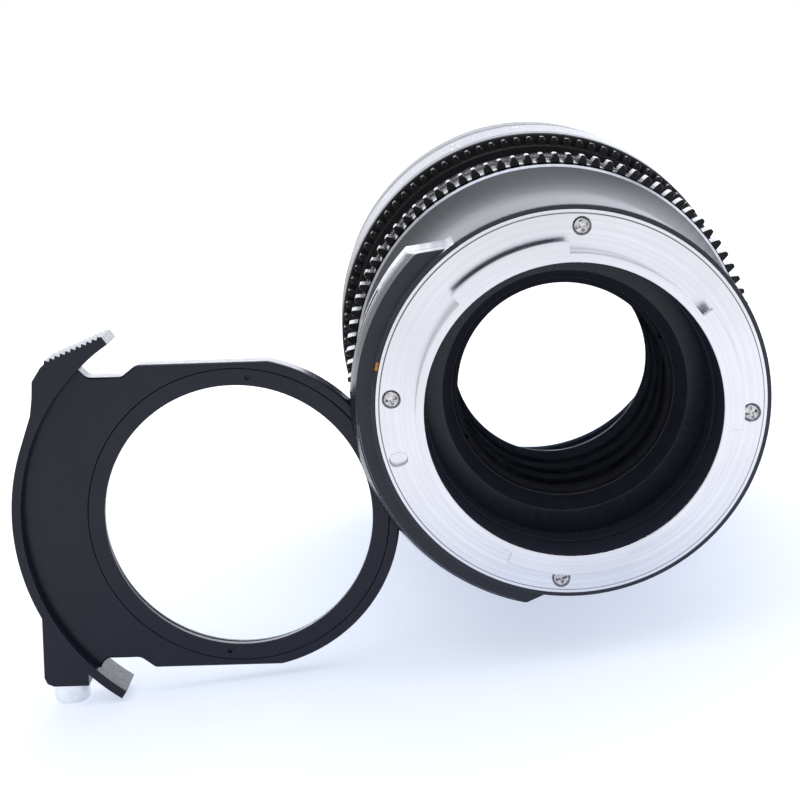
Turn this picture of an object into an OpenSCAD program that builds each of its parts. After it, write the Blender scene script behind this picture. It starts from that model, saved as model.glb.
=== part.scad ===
// Cinema prime lens with a drop-in filter tray, drawn out of its slot.
// The optical axis is Y: the camera mount faces -Y, the front of the lens faces +Y, and Z is up.
// The origin is the centre of the flange's seat. Depths are measured from that seat along +Y.
// Clock angles run from +X towards +Z, as seen from the mount side.

/* [Camera mount] */
// Radius of the bayonet flange
flange_r = 31.7; // [30.5:0.1:32]
// Thickness of the flange plate
flange_t = 2.4; // [2:0.1:4]
// Radial width of the flange, from its rim to the clear hole
flange_band = 7.9; // [7:0.1:9]
// Wall of the collar round the flange
collar_wall = 0.7; // [0.5:0.05:1.2]
// Wall of the tube that enters the camera
mount_tube_wall = 1.4; // [1:0.1:2]
// Length of that tube behind the seat
mount_tube_len = 4.7; // [4:0.1:6]
// How far the bayonet lugs stand out of the tube
lug_reach = 1.9; // [1:0.1:2.1]
// Thickness of a lug along the axis
lug_t = 1.5; // [1:0.1:2.2]
// Angle that one lug covers
lug_span = 44; // [36:1:56]
// Clock angle of the first lug's middle
lug_angle = 106.6; // [90:0.1:120]
// Turn from the first lug to the second and the third
lug_second_turn = 155; // [130:1:165]
lug_third_turn = 261; // [230:1:275]
// Number of flange screws
mount_screws_n = 4; // [3:1:6]
// Distance of the screw circle from the flange's rim
mount_screw_inset = 2.6; // [2.2:0.1:3.2]
// Clock angle of the first screw
mount_screw_angle = 79.8; // [0:0.1:90]
// Radius of a screw's flat head
screw_head_r = 1.45; // [1.3:0.05:1.6]
// Radius of a screw's shank
screw_shank_r = 0.9; // [0.7:0.05:1]
// Length of a screw under its head plane
screw_len = 6; // [4.5:0.1:6.4]
// Clock angle of the lock pin's recess
lock_angle = 189.7; // [185:0.1:195]
// Half width of that recess
lock_half_w = 1.1; // [0.8:0.05:1.2]
// Length of its straight part
lock_straight = 0.8; // [0.5:0.1:1.2]
// Depth of the recess
lock_depth = 1.3; // [0.8:0.1:1.8]
// Thickness of the flange shim
shim_t = 0.2; // [0.1:0.05:0.4]

/* [Filter slot housing] */
// How far the slot's lobe stands out of the round barrel
lobe_rise = 3.6; // [3:0.1:4.2]
// Half of the angle that the lobe covers
lobe_half_angle = 59.5; // [59:0.1:62]
// Clock angle of the lobe's middle
lobe_angle = 189.4; // [188.5:0.1:193]
// Turn from the lobe's corner to the foot of its shoulder
shoulder_turn = 9; // [6:0.5:14]
// How much the lobe's wall draws in at the rear
lobe_draw = 1.1; // [0.6:0.1:1.6]
// Length of the wall that draws in
lobe_draw_len = 4; // [1:0.1:4.2]
// Clock angle of the slot's mouth
slot_angle = 192.5; // [180:0.1:200]
// Thickness of the rear plate behind the flange
rear_plate_t = 4.4; // [4.2:0.1:6]
// Height of the collar round the flange
collar_h = 2; // [1:0.1:2.4]
// Play of the tray along the axis
tray_play = 0.2; // [0.1:0.05:0.4]
// Thickness of the wall in front of the slot
front_wall_t = 4.1; // [3.5:0.1:6]
// How far the rear plate's hole is inside the mount's
rear_plate_lip = 0.4; // [0.2:0.1:0.8]
// How far the baffle cone starts inside the rear plate's hole
baffle_lip = 2.8; // [2:0.1:3.5]
// How much the baffle cone narrows
baffle_taper = 1.6; // [1:0.1:2.2]

/* [Filter tray] */
// Thickness of the tray's frame
tray_t = 4; // [3.6:0.1:4]
// How far the tray's round end is smaller than the lobe
tray_end_inset = 8.8; // [8:0.1:10]
// Radial width of the tray's rim round its light hole
tray_border = 4.6; // [4.4:0.1:6]
// How much the tray's flats cut off its round end
tray_flat_cut = 0.7; // [0.5:0.05:1]
// How much deeper the waist behind the hooks is cut
tray_waist_cut = 1.9; // [1.5:0.1:2.2]
// How far the filter glass reaches past the light hole
filter_lip = 2; // [1.6:0.1:2.2]
// Thickness of the filter glass
filter_t = 1.9; // [1.5:0.1:2]
// Radial width of the threaded ring that holds the glass
tray_ring_wall = 2.8; // [2.5:0.1:3.2]
// Thickness of that ring
tray_ring_t = 1.2; // [0.8:0.1:1.3]
// Radius of a pin spanner hole
spanner_hole_r = 0.4; // [0.3:0.05:0.6]
// Wall of the grip band that closes the slot
grip_wall = 1.6; // [1.4:0.1:2.5]
// Width of the grip band along the axis
grip_w = 8; // [7:0.1:9]
// Half of the angle that the grip band covers
grip_half_angle = 57; // [55:0.1:58]
// Half of the angle over which the frame joins the band
joint_half_angle = 45.8; // [44:0.1:47]
// How far the thumb lug stands out of the grip band
lug_rise = 3.1; // [2.5:0.1:3.6]
// Number of serrations on the thumb lug
serrations = 11; // [6:1:14]
// Height of a serration
serration_h = 0.6; // [0.3:0.05:0.8]
// Radius of the release button
button_r = 3.1; // [2.6:0.1:3.1]
// How far the button stands out of its boss
button_reach = 3.8; // [3:0.1:4.5]
// How far the button travels
button_travel = 1.8; // [1:0.1:1.8]
// How far the drawn tray's round end is still in the slot
tray_tip_in = 4.5; // [3:0.1:6]
// How far the drawn tray is turned on its glass
tray_turn = 18.8; // [15:0.1:20]

/* [Barrels] */
// Length of the rear barrel
rear_barrel_len = 26.3; // [24:0.1:30]
// How far the flare at its front stands out of the inner barrel
flare_rise = 3.1; // [2.8:0.1:3.4]
// Length of the straight part of the rear barrel
rear_straight_len = 12.5; // [8:0.1:15]
// Wall of the rear barrel round the inner barrel's slim end
rear_barrel_wall = 3.4; // [3:0.1:4]
// Step from the inner barrel's slim end to the part that the rings turn on
inner_step = 4; // [3.6:0.1:4.6]
// Wall of the inner barrel under the rings
inner_wall = 1.5; // [1.3:0.1:1.8]
// Wall of the inner barrel round the rear optical cell
inner_rear_wall = 3; // [2.4:0.1:3.6]
// Length of the fixed index barrel
index_barrel_len = 11.8; // [9:0.1:15]
// How far the fixed index barrel stands out of the inner barrel
index_rise = 3.6; // [3:0.1:4]
// Length of the front barrel
front_barrel_len = 15; // [14:0.1:18]
// How far the front barrel stands out of the inner barrel
front_rise = 8; // [7.4:0.1:9]
// Wall of the front barrel round the filter thread
front_thread_wall = 2.9; // [2.4:0.1:3.4]
// Length of the front filter thread
front_thread_len = 5; // [4:0.1:6]

/* [Gear rings] */
// Module of both drive gears
gear_module = 0.8; // [0.7:0.05:0.85]
// How far the iris gear's pitch circle is outside the inner barrel
iris_pitch_rise = 4.2; // [4:0.1:4.8]
// How far the focus gear's pitch circle is outside the inner barrel
focus_pitch_rise = 5.8; // [5.4:0.1:6.4]
// Width of a gear band
gear_w = 4.6; // [4:0.1:6]
// Width of the iris ring
iris_ring_w = 16; // [14:0.1:20]
// How far the iris ring's scale band stands out of the inner barrel
iris_scale_rise = 3.2; // [2.8:0.1:3.4]
// Width of the focus ring
focus_ring_w = 25.4; // [24:0.1:30]
// How far the focus ring's rear shoulder stands out of its gear, as a share of the front barrel's height
focus_shoulder = 0.4; // [0.38:0.02:0.7]
// Turn of the iris ring from open to closed
iris_throw = 72; // [60:1:80]
// Turn of the focus ring from far to near
focus_throw = 300; // [270:1:310]
// Gap between a turning ring and its neighbours
ring_gap = 0.3; // [0.2:0.05:0.5]

/* [Iris] */
// Number of iris blades
blade_n = 10; // [8:1:10]
// How far the open iris is inside the circle of blade pivots
iris_open_inset = 10; // [9.6:0.1:11]
// Width of a blade
blade_w = 7.6; // [7:0.1:7.8]
// Thickness of a blade
blade_t = 0.14; // [0.1:0.01:0.16]
// Step from one blade's layer to the next
blade_step = 0.24; // [0.22:0.01:0.3]
// Angle that a blade covers
blade_span = 94; // [80:1:100]
// Distance of the circle of blade pivots from the inner barrel's bore
blade_pivot_inset = 3.1; // [2.9:0.1:3.3]
// Length of a blade's lever
blade_lever = 5.2; // [5:0.1:5.4]
// Turn of a blade from open to closed
blade_swing = 30; // [20:1:30]
// Radius of a blade's pivot pin
pivot_pin_r = 0.5; // [0.4:0.05:0.6]
// Radius of a blade's drive pin
drive_pin_r = 0.45; // [0.4:0.05:0.45]
// Thickness of the iris plates
iris_plate_t = 1.2; // [1:0.1:1.5]
// Thickness of the iris rotor
rotor_t = 2.2; // [2:0.1:2.6]
// Radius of the key between the iris ring and the rotor
iris_key_r = 0.7; // [0.5:0.05:0.8]
// Clock angle of that key
iris_key_angle = 40; // [0:1:90]

/* [Focus group] */
// Axial travel of the focus cell
focus_travel = 9; // [8.5:0.1:9.5]
// Length of the focus cell
focus_cell_len = 40; // [38:0.1:41]
// Radius of a cam follower
follower_r = 1.1; // [0.9:0.05:1.15]
// Distance of the followers behind the second element's seat
follower_back = 2; // [1.9:0.1:3]
// Number of cam followers
follower_n = 3; // [3:1:3]
// Clock angle of the first follower
follower_angle = 30; // [0:1:60]
// How far the front elements are smaller than the focus cell
front_glass_inset = 1.5; // [1.4:0.05:3]
// How far the inner element is smaller than the focus cell
inner_glass_inset = 7.7; // [7.5:0.05:11]
// How far the rear group's elements are smaller than their barrel's bore
rear_glass_inset = 7.3; // [6.8:0.1:8]
// Rim of an element that its seat holds
glass_rim = 0.8; // [0.6:0.1:1.2]

/* [Hidden] */
$fn = 96;
// Radial clearance of turning, sliding and seated round fits
fit_gap = 0.05;
// Clearance of the tray, its hooks and other loose pieces
loose_gap = 0.3;
// How far cutting shapes run past what they cut
cut_over = 1;

// Radii of the mount, the slot housing and the rear barrel
mount_bore_r = flange_r - flange_band;
mount_screw_circle_r = flange_r - mount_screw_inset;
barrel_r = flange_r + collar_wall;
lobe_r = barrel_r + lobe_rise;
rear_plate_bore_r = mount_bore_r - rear_plate_lip;
baffle_rear_r = rear_plate_bore_r - baffle_lip;
baffle_front_r = baffle_rear_r - baffle_taper;

// Radii of the barrels and rings
inner_rear_r = barrel_r - rear_barrel_wall;
rear_bore_r = inner_rear_r - inner_rear_wall;
inner_barrel_r = inner_rear_r + inner_step;
inner_bore_r = inner_barrel_r - inner_wall;
flare_r = inner_barrel_r + flare_rise;
index_barrel_r = inner_barrel_r + index_rise;
front_barrel_r = inner_barrel_r + front_rise;
front_thread_r = front_barrel_r - front_thread_wall;
iris_scale_r = inner_barrel_r + iris_scale_rise;
iris_teeth = round(2 * (inner_barrel_r + iris_pitch_rise) / gear_module);
focus_teeth = round(2 * (inner_barrel_r + focus_pitch_rise) / gear_module);

// Depths of the pieces, from the flange's seat
slot_w = tray_t + tray_play;
plate_d = flange_t + shim_t;
slot_d = plate_d + rear_plate_t;
wall_d = slot_d + slot_w;
rear_d = wall_d + front_wall_t;
rear_end_d = rear_d + rear_barrel_len;
iris_d = rear_end_d + ring_gap;
iris_end_d = iris_d + iris_ring_w;
index_d = iris_end_d + ring_gap;
index_end_d = index_d + index_barrel_len;
focus_d = index_end_d + ring_gap;
focus_end_d = focus_d + focus_ring_w;
front_d = focus_end_d + ring_gap;
front_end_d = front_d + front_barrel_len;

// The inner barrel: its step, its iris seat and its front end
barrel_step_back = 4.6;
iris_seat_in = 1.1;
front_screw_len = 4;
step_d = rear_end_d - barrel_step_back;
seat_d = iris_d + iris_seat_in;
inner_end_d = front_d + front_screw_len;

// The iris stack
blade_pivot_circle_r = inner_bore_r - blade_pivot_inset;
iris_open_r = blade_pivot_circle_r - iris_open_inset;
blade_gap = 0.1;
base_end_d = seat_d + iris_plate_t;
blades_d = base_end_d + blade_gap;
rotor_d = blades_d + blade_n * blade_step;
rotor_end_d = rotor_d + rotor_t;
keeper_d = rotor_end_d + blade_gap;
keeper_end_d = keeper_d + iris_plate_t;
key_d = (rotor_d + rotor_end_d) / 2;
key_depth = 0.5;
key_seat = 1.8;
key_slot_spare_deg = 3;
rotor_r = inner_bore_r - fit_gap;
blade_in_r = iris_open_r + 0.2;
blade_out_r = blade_in_r + blade_w;
blade_tail_deg = 4;
blade_eye_r = 1.3;
drive_eye_r = 1;
rotor_in_r = blade_out_r - 0.3;

// The focus cell and its cam
cell_rear_gap = 2.5;
cell_r = inner_bore_r - fit_gap;
cell_d = keeper_end_d + cell_rear_gap;
cell_end_d = cell_d + focus_cell_len;
front_glass_r = cell_r - front_glass_inset;
inner_glass_r = cell_r - inner_glass_inset;
rear_glass_r = rear_bore_r - rear_glass_inset;
cam_slot_w = 2 * (follower_r + fit_gap);
cam_rate = focus_travel / focus_throw;
cam_half_deg = cam_slot_w / 2 / cam_rate;
cam_in_r = inner_barrel_r + fit_gap;
cam_wall = 2.9;
cam_r = cam_in_r + cam_wall;
cam_end_in = 0.6;
focus_in_r = cam_r + fit_gap;
follower_seat_r = cell_r - 1.5;
follower_tip_r = cam_r - 0.2;
cam_slices = 48;

// Tray layout, in the tray's own plane: u runs out through the grip, v is a quarter turn further on
tray_end_r = lobe_r - tray_end_inset;
tray_half_w = tray_end_r - tray_flat_cut;
tray_waist_half_w = tray_half_w - tray_waist_cut;
tray_hole_r = tray_end_r - tray_border;
filter_r = tray_hole_r + filter_lip;
tray_ring_r = tray_hole_r + tray_ring_wall;
tray_out = lobe_r + tray_end_r - tray_tip_in;
tray_angle = slot_angle - tray_turn;
tray_d = slot_d + (slot_w - tray_t) / 2;
tray_end_d = tray_d + tray_t;
grip_d = tray_d + tray_t / 2 - grip_w / 2;
grip_end_d = grip_d + grip_w;
grip_in_r = lobe_r + loose_gap;
grip_r = grip_in_r + grip_wall;
tongue = 0.8;
tongue_r = grip_in_r + tongue;
channel_half_w = tray_end_r + loose_gap;
pocket_r = channel_half_w + 0.1;
glass_d = tray_d + tray_ring_t + fit_gap;
ledge_d = glass_d + filter_t + fit_gap;
spanner_circle_r = (tray_hole_r + tray_ring_r) / 2;
spanner_angle = 83.5;
waist_start_u = tray_end_r - 11.5;
waist_u = waist_start_u + 2.5;
waist_end_u = waist_u + 5.8;
lower_hook_angle = grip_half_angle - 1.6;
boss_v = [grip_r - 21.3, grip_r - 9.2];
boss_round = 1.6;
boss_wall = 0.7;
button_bore_depth = 3.7;
button_head_in = 0.5;
button_stem_r = 0.9;
button_stem_len = 3.9;
button_round = 0.8;
stem_hole_depth = 6.3;
stem_wall = 0.2;
spring_wire = 0.4;
spring_gap = 0.4;
// The button stands where its stem's hole just clears the groove for the tongue
stem_end_v = boss_v[1] - stem_hole_depth;
button_u = sqrt(pow(tongue_r + stem_wall, 2) - pow(stem_end_v, 2)) + button_stem_r + fit_gap;
boss_u = [button_u - button_r - boss_wall, button_u + button_r + boss_wall];

module at_clock(angle) {
    rotate([0, -angle, 0]) children();
}

// A flat outline, drawn as seen from the mount side, as a slab between two depths
module slab(from_d, to_d) {
    translate([0, to_d, 0])
        rotate([90, 0, 0])
            linear_extrude(height = to_d - from_d) children();
}

// A turned piece: points are [radius, depth]
module turned(points) {
    rotate([-90, 0, 0]) rotate_extrude() polygon(points);
}

module sleeve(out_r, in_r, from_d, to_d) {
    turned([[in_r, from_d], [out_r, from_d], [out_r, to_d], [in_r, to_d]]);
}

// A rod that points away from the axis, at a clock angle and a depth
module spoke(angle, depth, r, from_r, to_r) {
    at_clock(angle)
        translate([from_r, depth, 0])
            rotate([0, 90, 0])
                cylinder(r = r, h = to_r - from_r, $fn = 32);
}

// A rod along the axis at a place given by radius and clock angle
module axial_rod(circle_r, angle, r, from_d, to_d) {
    at_clock(angle)
        translate([circle_r, from_d, 0])
            rotate([-90, 0, 0])
                cylinder(r = r, h = to_d - from_d, $fn = 32);
}

function polar(r, angle) = [r * cos(angle), r * sin(angle)];

function arc_points(r, from_a, to_a, steps) =
    [for (i = [0:steps]) polar(r, from_a + (to_a - from_a) * i / steps)];

// A pie slice wide enough to cut out of anything of radius r
module pie(r, from_a, to_a) {
    steps = 8;
    polygon(concat([[0, 0]], arc_points(r * 1.2, from_a, to_a, steps)));
}

module ring_sector(in_r, out_r, from_a, to_a, steps) {
    polygon(concat(arc_points(in_r, from_a, to_a, steps), arc_points(out_r, to_a, from_a, steps)));
}

module round_slot(straight, half_w) {
    square([straight, 2 * half_w], center = true);
    translate([-straight / 2, 0]) circle(r = half_w, $fn = 32);
    translate([straight / 2, 0]) circle(r = half_w, $fn = 32);
}

// A gear's outline: each tooth has its root, pitch and tip corners on both flanks
module gear_outline(teeth) {
    pitch_r = gear_module * teeth / 2;
    tip_r = pitch_r + gear_module;
    root_r = pitch_r - gear_module;
    step = 360 / teeth;
    corners = [
        [root_r, -0.36], [pitch_r, -0.26], [tip_r, -0.14],
        [tip_r, 0.14], [pitch_r, 0.26], [root_r, 0.36]
    ];
    polygon([for (i = [0:teeth - 1]) for (c = corners) polar(c[0], (i + c[1]) * step)]);
}

function gear_root_r(teeth) = gear_module * (teeth / 2 - 1);

// A glass element with flat rims: a bulge above 0 is convex, below 0 is hollow
module element(edge_r, from_d, to_d, rear_bulge, front_bulge) {
    steps = 10;
    clear_r = edge_r - glass_rim;
    rear = [for (i = [0:steps]) [clear_r * i / steps, from_d - rear_bulge * (1 - pow(i / steps, 2))]];
    front = [for (i = [steps:-1:0]) [clear_r * i / steps, to_d + front_bulge * (1 - pow(i / steps, 2))]];
    turned(concat(rear, [[edge_r, from_d], [edge_r, to_d]], front));
}

// Where the tray stands at rest: out along the slot and turned on its glass
module tray_place() {
    at_clock(slot_angle) translate([tray_out, 0, 0]) at_clock(tray_angle - slot_angle) children();
}

module mount_bayonet() {
    tube_r = mount_bore_r + mount_tube_wall;
    lug_r = tube_r + lug_reach;
    rim_ledge = 0.65;
    rim_step = 0.3;
    color("gainsboro")
        difference() {
            union() {
                turned([
                    [mount_bore_r, -mount_tube_len], [tube_r, -mount_tube_len], [tube_r, 0],
                    [flange_r - rim_ledge, 0], [flange_r - rim_ledge, rim_step], [flange_r, rim_step],
                    [flange_r, flange_t], [mount_bore_r, flange_t]
                ]);
                for (turn = [0, lug_second_turn, lug_third_turn])
                    intersection() {
                        sleeve(lug_r, tube_r - 0.2, -mount_tube_len, lug_t - mount_tube_len);
                        slab(-mount_tube_len - cut_over, 0)
                            rotate(lug_angle + turn)
                                pie(lug_r, -lug_span / 2, lug_span / 2);
                    }
            }
            for (i = [0:mount_screws_n - 1])
                at_clock(mount_screw_angle + i * 360 / mount_screws_n)
                    translate([mount_screw_circle_r, 0, 0])
                        turned(screw_profile(fit_gap, flange_t + cut_over));
            slab(-cut_over, lock_depth)
                rotate(lock_angle)
                    translate([mount_screw_circle_r + 0.2, 0])
                        round_slot(lock_straight, lock_half_w);
        }
}

// Half outline of a flat-headed screw, grown by a clearance
function screw_profile(gap, len) = [
    [0, gap > 0 ? -cut_over : 0.05],
    [screw_head_r + gap, gap > 0 ? -cut_over : 0.05],
    [screw_head_r + gap, 0.25 + gap],
    [screw_shank_r + gap, 0.25 + gap + screw_head_r - screw_shank_r],
    [screw_shank_r + gap, len],
    [0, len]
];

module mount_screws() {
    recess = 0.9;
    recess_w = 0.45;
    color("silver")
        for (i = [0:mount_screws_n - 1])
            at_clock(mount_screw_angle + i * 360 / mount_screws_n)
                translate([mount_screw_circle_r, 0, 0])
                    difference() {
                        turned(screw_profile(0, screw_len));
                        for (turn = [0, 90])
                            rotate([0, turn, 0])
                                translate([0, recess / 2, 0])
                                    cube([1.9, recess + 0.2, recess_w], center = true);
                    }
}

module mount_shim() {
    color("goldenrod")
        difference() {
            sleeve(flange_r - 0.5, mount_bore_r + 0.4, flange_t, plate_d);
            mount_screw_holes(flange_t - cut_over, plate_d + cut_over, 0.2);
        }
}

module mount_screw_holes(from_d, to_d, gap) {
    for (i = [0:mount_screws_n - 1])
        axial_rod(mount_screw_circle_r, mount_screw_angle + i * 360 / mount_screws_n,
            screw_shank_r + gap, from_d, to_d);
}

// Outline of the housing: the round barrel and the lobe, whose straight shoulders run onto the barrel
module housing_outline() {
    foot = polar(barrel_r - 0.02, lobe_half_angle + shoulder_turn);
    corner = polar(lobe_r, lobe_half_angle);
    past = foot + 1.3 * (corner - foot);
    circle(r = barrel_r);
    rotate(lobe_angle)
        intersection() {
            circle(r = lobe_r);
            polygon(concat(
                [[foot[0], -foot[1]], [past[0], -past[1]]],
                arc_points(1.3 * lobe_r, 20 - lobe_half_angle, lobe_half_angle - 20, 8),
                [past, foot]
            ));
        }
}

module rear_plate() {
    color([0.12, 0.12, 0.14])
        difference() {
            union() {
                intersection() {
                    slab(plate_d, slot_d) housing_outline();
                    turned([
                        [0, plate_d - lobe_draw_len], [lobe_r - 2 * lobe_draw, plate_d - lobe_draw_len],
                        [lobe_r + lobe_draw, plate_d + 2 * lobe_draw_len], [0, plate_d + 2 * lobe_draw_len]
                    ]);
                }
                sleeve(barrel_r, flange_r + fit_gap, plate_d - collar_h, plate_d + 0.5);
            }
            translate([0, plate_d - cut_over, 0])
                rotate([-90, 0, 0])
                    cylinder(r = rear_plate_bore_r, h = rear_plate_t + 2 * cut_over);
            mount_screw_holes(plate_d - cut_over, slot_d + cut_over, fit_gap);
            at_clock(index_dot_angle)
                translate([index_dot_circle_r, plate_d - collar_h, 0])
                    rotate([-90, 0, 0])
                        cylinder(r = index_dot_r + fit_gap, h = 2 * index_dot_t, center = true, $fn = 32);
        }
}

index_dot_angle = 160.5;
index_dot_r = 0.25;
index_dot_t = 0.3;
index_dot_circle_r = (barrel_r + flange_r + fit_gap) / 2;

module mount_index_dot() {
    color("orangered")
        at_clock(index_dot_angle)
            translate([index_dot_circle_r, plate_d - collar_h, 0])
                rotate([-90, 0, 0])
                    cylinder(r = index_dot_r, h = index_dot_t, $fn = 32);
}

module slot_body() {
    color([0.12, 0.12, 0.14])
        difference() {
            slab(slot_d, rear_d) housing_outline();
            slab(slot_d - cut_over, wall_d) {
                circle(r = pocket_r);
                rotate(slot_angle)
                    translate([0, -channel_half_w])
                        square([2 * lobe_r, 2 * channel_half_w]);
            }
            turned([
                [0, wall_d - cut_over], [baffle_rear_r, wall_d - cut_over], [baffle_rear_r, wall_d],
                [baffle_front_r, rear_d], [baffle_front_r, rear_d + cut_over], [0, rear_d + cut_over]
            ]);
        }
}

module rear_barrel() {
    steps = 12;
    lip = 1;
    straight_d = rear_d + rear_straight_len;
    flare_d = rear_end_d - lip;
    flare = [
        for (i = [0:steps])
            [
                barrel_r + (flare_r - barrel_r) * pow(i / steps, 2),
                straight_d + (flare_d - straight_d) * i / steps
            ]
    ];
    color([0.16, 0.16, 0.18])
        turned(concat(
            [[inner_rear_r + fit_gap, rear_d], [barrel_r, rear_d]],
            flare,
            [
                [flare_r, rear_end_d], [inner_barrel_r + fit_gap, rear_end_d],
                [inner_barrel_r + fit_gap, step_d], [inner_rear_r + fit_gap, step_d]
            ]
        ));
}

module inner_barrel() {
    key_half_w = iris_key_r + 0.15;
    slide_half_w = follower_r + fit_gap;
    color([0.3, 0.3, 0.32])
        difference() {
            turned([
                [rear_bore_r, rear_d], [inner_rear_r, rear_d], [inner_rear_r, step_d],
                [inner_barrel_r, step_d], [inner_barrel_r, inner_end_d], [inner_bore_r, inner_end_d],
                [inner_bore_r, seat_d], [rear_bore_r, seat_d]
            ]);
            intersection() {
                sleeve(inner_barrel_r + cut_over, inner_bore_r - cut_over,
                    key_d - key_half_w, key_d + key_half_w);
                slab(seat_d, index_d)
                    pie(inner_barrel_r + cut_over, iris_key_angle - key_slot_spare_deg,
                        iris_key_angle + iris_throw + key_slot_spare_deg);
            }
            for (i = [0:follower_n - 1])
                at_clock(follower_angle + i * 360 / follower_n)
                    translate([inner_bore_r - cut_over, follower_d - slide_half_w, -slide_half_w])
                        cube([
                            inner_barrel_r - inner_bore_r + 2 * cut_over,
                            focus_travel + 2 * slide_half_w,
                            2 * slide_half_w
                        ]);
        }
}

// The rear group: cell, three elements, two spacers and the threaded ring behind them
rear_cell_d = rear_d + 0.3;
rear_cell_end_d = seat_d - 0.4;
rear_ring_t = 2;
rear_ring_d = rear_cell_d + 0.4;
rear_glass_d = rear_ring_d + rear_ring_t;
rear_glass_edge = 4;
rear_spacer_len = 3.2;
rear_glass_step = rear_glass_edge + rear_spacer_len;
rear_cell_bore_r = rear_glass_r + fit_gap;
rear_clear_r = rear_glass_r - glass_rim;
rear_seat_d = rear_glass_d + 2 * rear_glass_step + rear_glass_edge;

module rear_cell() {
    color([0.1, 0.1, 0.11])
        turned([
            [rear_cell_bore_r, rear_cell_d], [rear_bore_r - fit_gap, rear_cell_d],
            [rear_bore_r - fit_gap, rear_cell_end_d], [rear_clear_r, rear_cell_end_d],
            [rear_clear_r, rear_seat_d], [rear_cell_bore_r, rear_seat_d]
        ]);
}

module rear_cell_ring() {
    color([0.1, 0.1, 0.11])
        difference() {
            sleeve(rear_glass_r, rear_clear_r, rear_ring_d, rear_glass_d);
            for (side = [0, 180])
                axial_rod(rear_glass_r, side + 20, 0.5,
                    rear_ring_d - cut_over, rear_ring_d + rear_ring_t / 2);
        }
}

module rear_element() {
    color([0.75, 0.85, 0.95, 0.4])
        element(rear_glass_r, rear_glass_d, rear_glass_d + rear_glass_edge, 1.6, 1.2);
}

module rear_spacer(i) {
    from_d = rear_glass_d + rear_glass_edge + i * rear_glass_step;
    color([0.1, 0.1, 0.11]) sleeve(rear_glass_r, rear_clear_r, from_d, from_d + rear_spacer_len);
}

module relay_element() {
    from_d = rear_glass_d + rear_glass_step;
    color([0.75, 0.85, 0.95, 0.4]) element(rear_glass_r, from_d, from_d + rear_glass_edge, -1.2, 1.5);
}

module stop_element() {
    from_d = rear_glass_d + 2 * rear_glass_step;
    color([0.75, 0.85, 0.95, 0.4]) element(rear_glass_r, from_d, from_d + rear_glass_edge, 1.3, -1);
}

// The iris: base plate with the blade pivots, blades in layers, rotor with cam slots, keeper
module iris_base() {
    color([0.15, 0.15, 0.16])
        difference() {
            sleeve(inner_bore_r - fit_gap, iris_open_r, seat_d, base_end_d);
            for (i = [0:blade_n - 1])
                axial_rod(blade_pivot_circle_r, i * 360 / blade_n, pivot_pin_r + fit_gap,
                    seat_d - cut_over, base_end_d + cut_over);
        }
}

// Place of a blade's drive pin, in the blade's own frame, after it has swung by an angle
function drive_pin_place(swing) =
    [blade_pivot_circle_r, 0] + polar(blade_lever, 270 - blade_swing / 2 + swing);

module blade_outline() {
    pin = drive_pin_place(0);
    pivot = [blade_pivot_circle_r, 0];
    arm = (pivot - pin) / norm(pivot - pin);
    side = [-arm[1], arm[0]] * drive_eye_r * 0.9;
    ring_sector(blade_in_r, blade_out_r, -blade_tail_deg, blade_span - blade_tail_deg, 30);
    polygon([
        polar(blade_out_r - 1, -blade_tail_deg + 1), polar(blade_pivot_circle_r, -2.2),
        polar(blade_pivot_circle_r, 2.2), polar(blade_out_r - 1, 7)
    ]);
    polygon([pivot + side, pin + side, pin - side, pivot - side]);
    translate(pivot) circle(r = blade_eye_r, $fn = 32);
    translate(pin) circle(r = drive_eye_r, $fn = 32);
}

module iris_blade(i) {
    layer_d = blades_d + i * blade_step;
    pin = drive_pin_place(0);
    color([0.2, 0.2, 0.22])
        at_clock(i * 360 / blade_n) {
            slab(layer_d, layer_d + blade_t) blade_outline();
            axial_rod(blade_pivot_circle_r, 0, pivot_pin_r, seat_d + 0.15, layer_d + blade_t / 2);
            axial_rod(norm(pin), atan2(pin[1], pin[0]), drive_pin_r,
                layer_d + blade_t / 2, rotor_end_d - 0.15);
        }
}

// Path of a drive pin as the turning rotor sees it, at a share of the throw
function cam_point(share, shift) =
    let (place = drive_pin_place(share * blade_swing))
    polar(norm(place) + shift, atan2(place[1], place[0]) - share * iris_throw);

module rotor_slot() {
    steps = 24;
    half_w = drive_pin_r + 0.07;
    polygon(concat(
        [for (i = [0:steps]) cam_point(i / steps, -half_w)],
        [for (i = [steps:-1:0]) cam_point(i / steps, half_w)]
    ));
    translate(cam_point(0, 0)) circle(r = half_w, $fn = 32);
    translate(cam_point(1, 0)) circle(r = half_w, $fn = 32);
}

module iris_rotor() {
    color([0.55, 0.55, 0.58])
        difference() {
            sleeve(rotor_r, rotor_in_r, rotor_d, rotor_end_d);
            for (i = [0:blade_n - 1])
                slab(rotor_d - cut_over, rotor_end_d + cut_over) rotate(i * 360 / blade_n) rotor_slot();
            spoke(iris_key_angle, key_d, iris_key_r + 0.02, rotor_r - key_depth, rotor_r + cut_over);
        }
}

module iris_keeper() {
    color([0.15, 0.15, 0.16])
        sleeve(inner_bore_r - fit_gap, iris_open_r + 1.3, keeper_d, keeper_end_d);
}

module iris_key() {
    color("silver")
        spoke(iris_key_angle, key_d, iris_key_r, rotor_r - key_depth + fit_gap, inner_barrel_r + key_seat);
}

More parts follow.
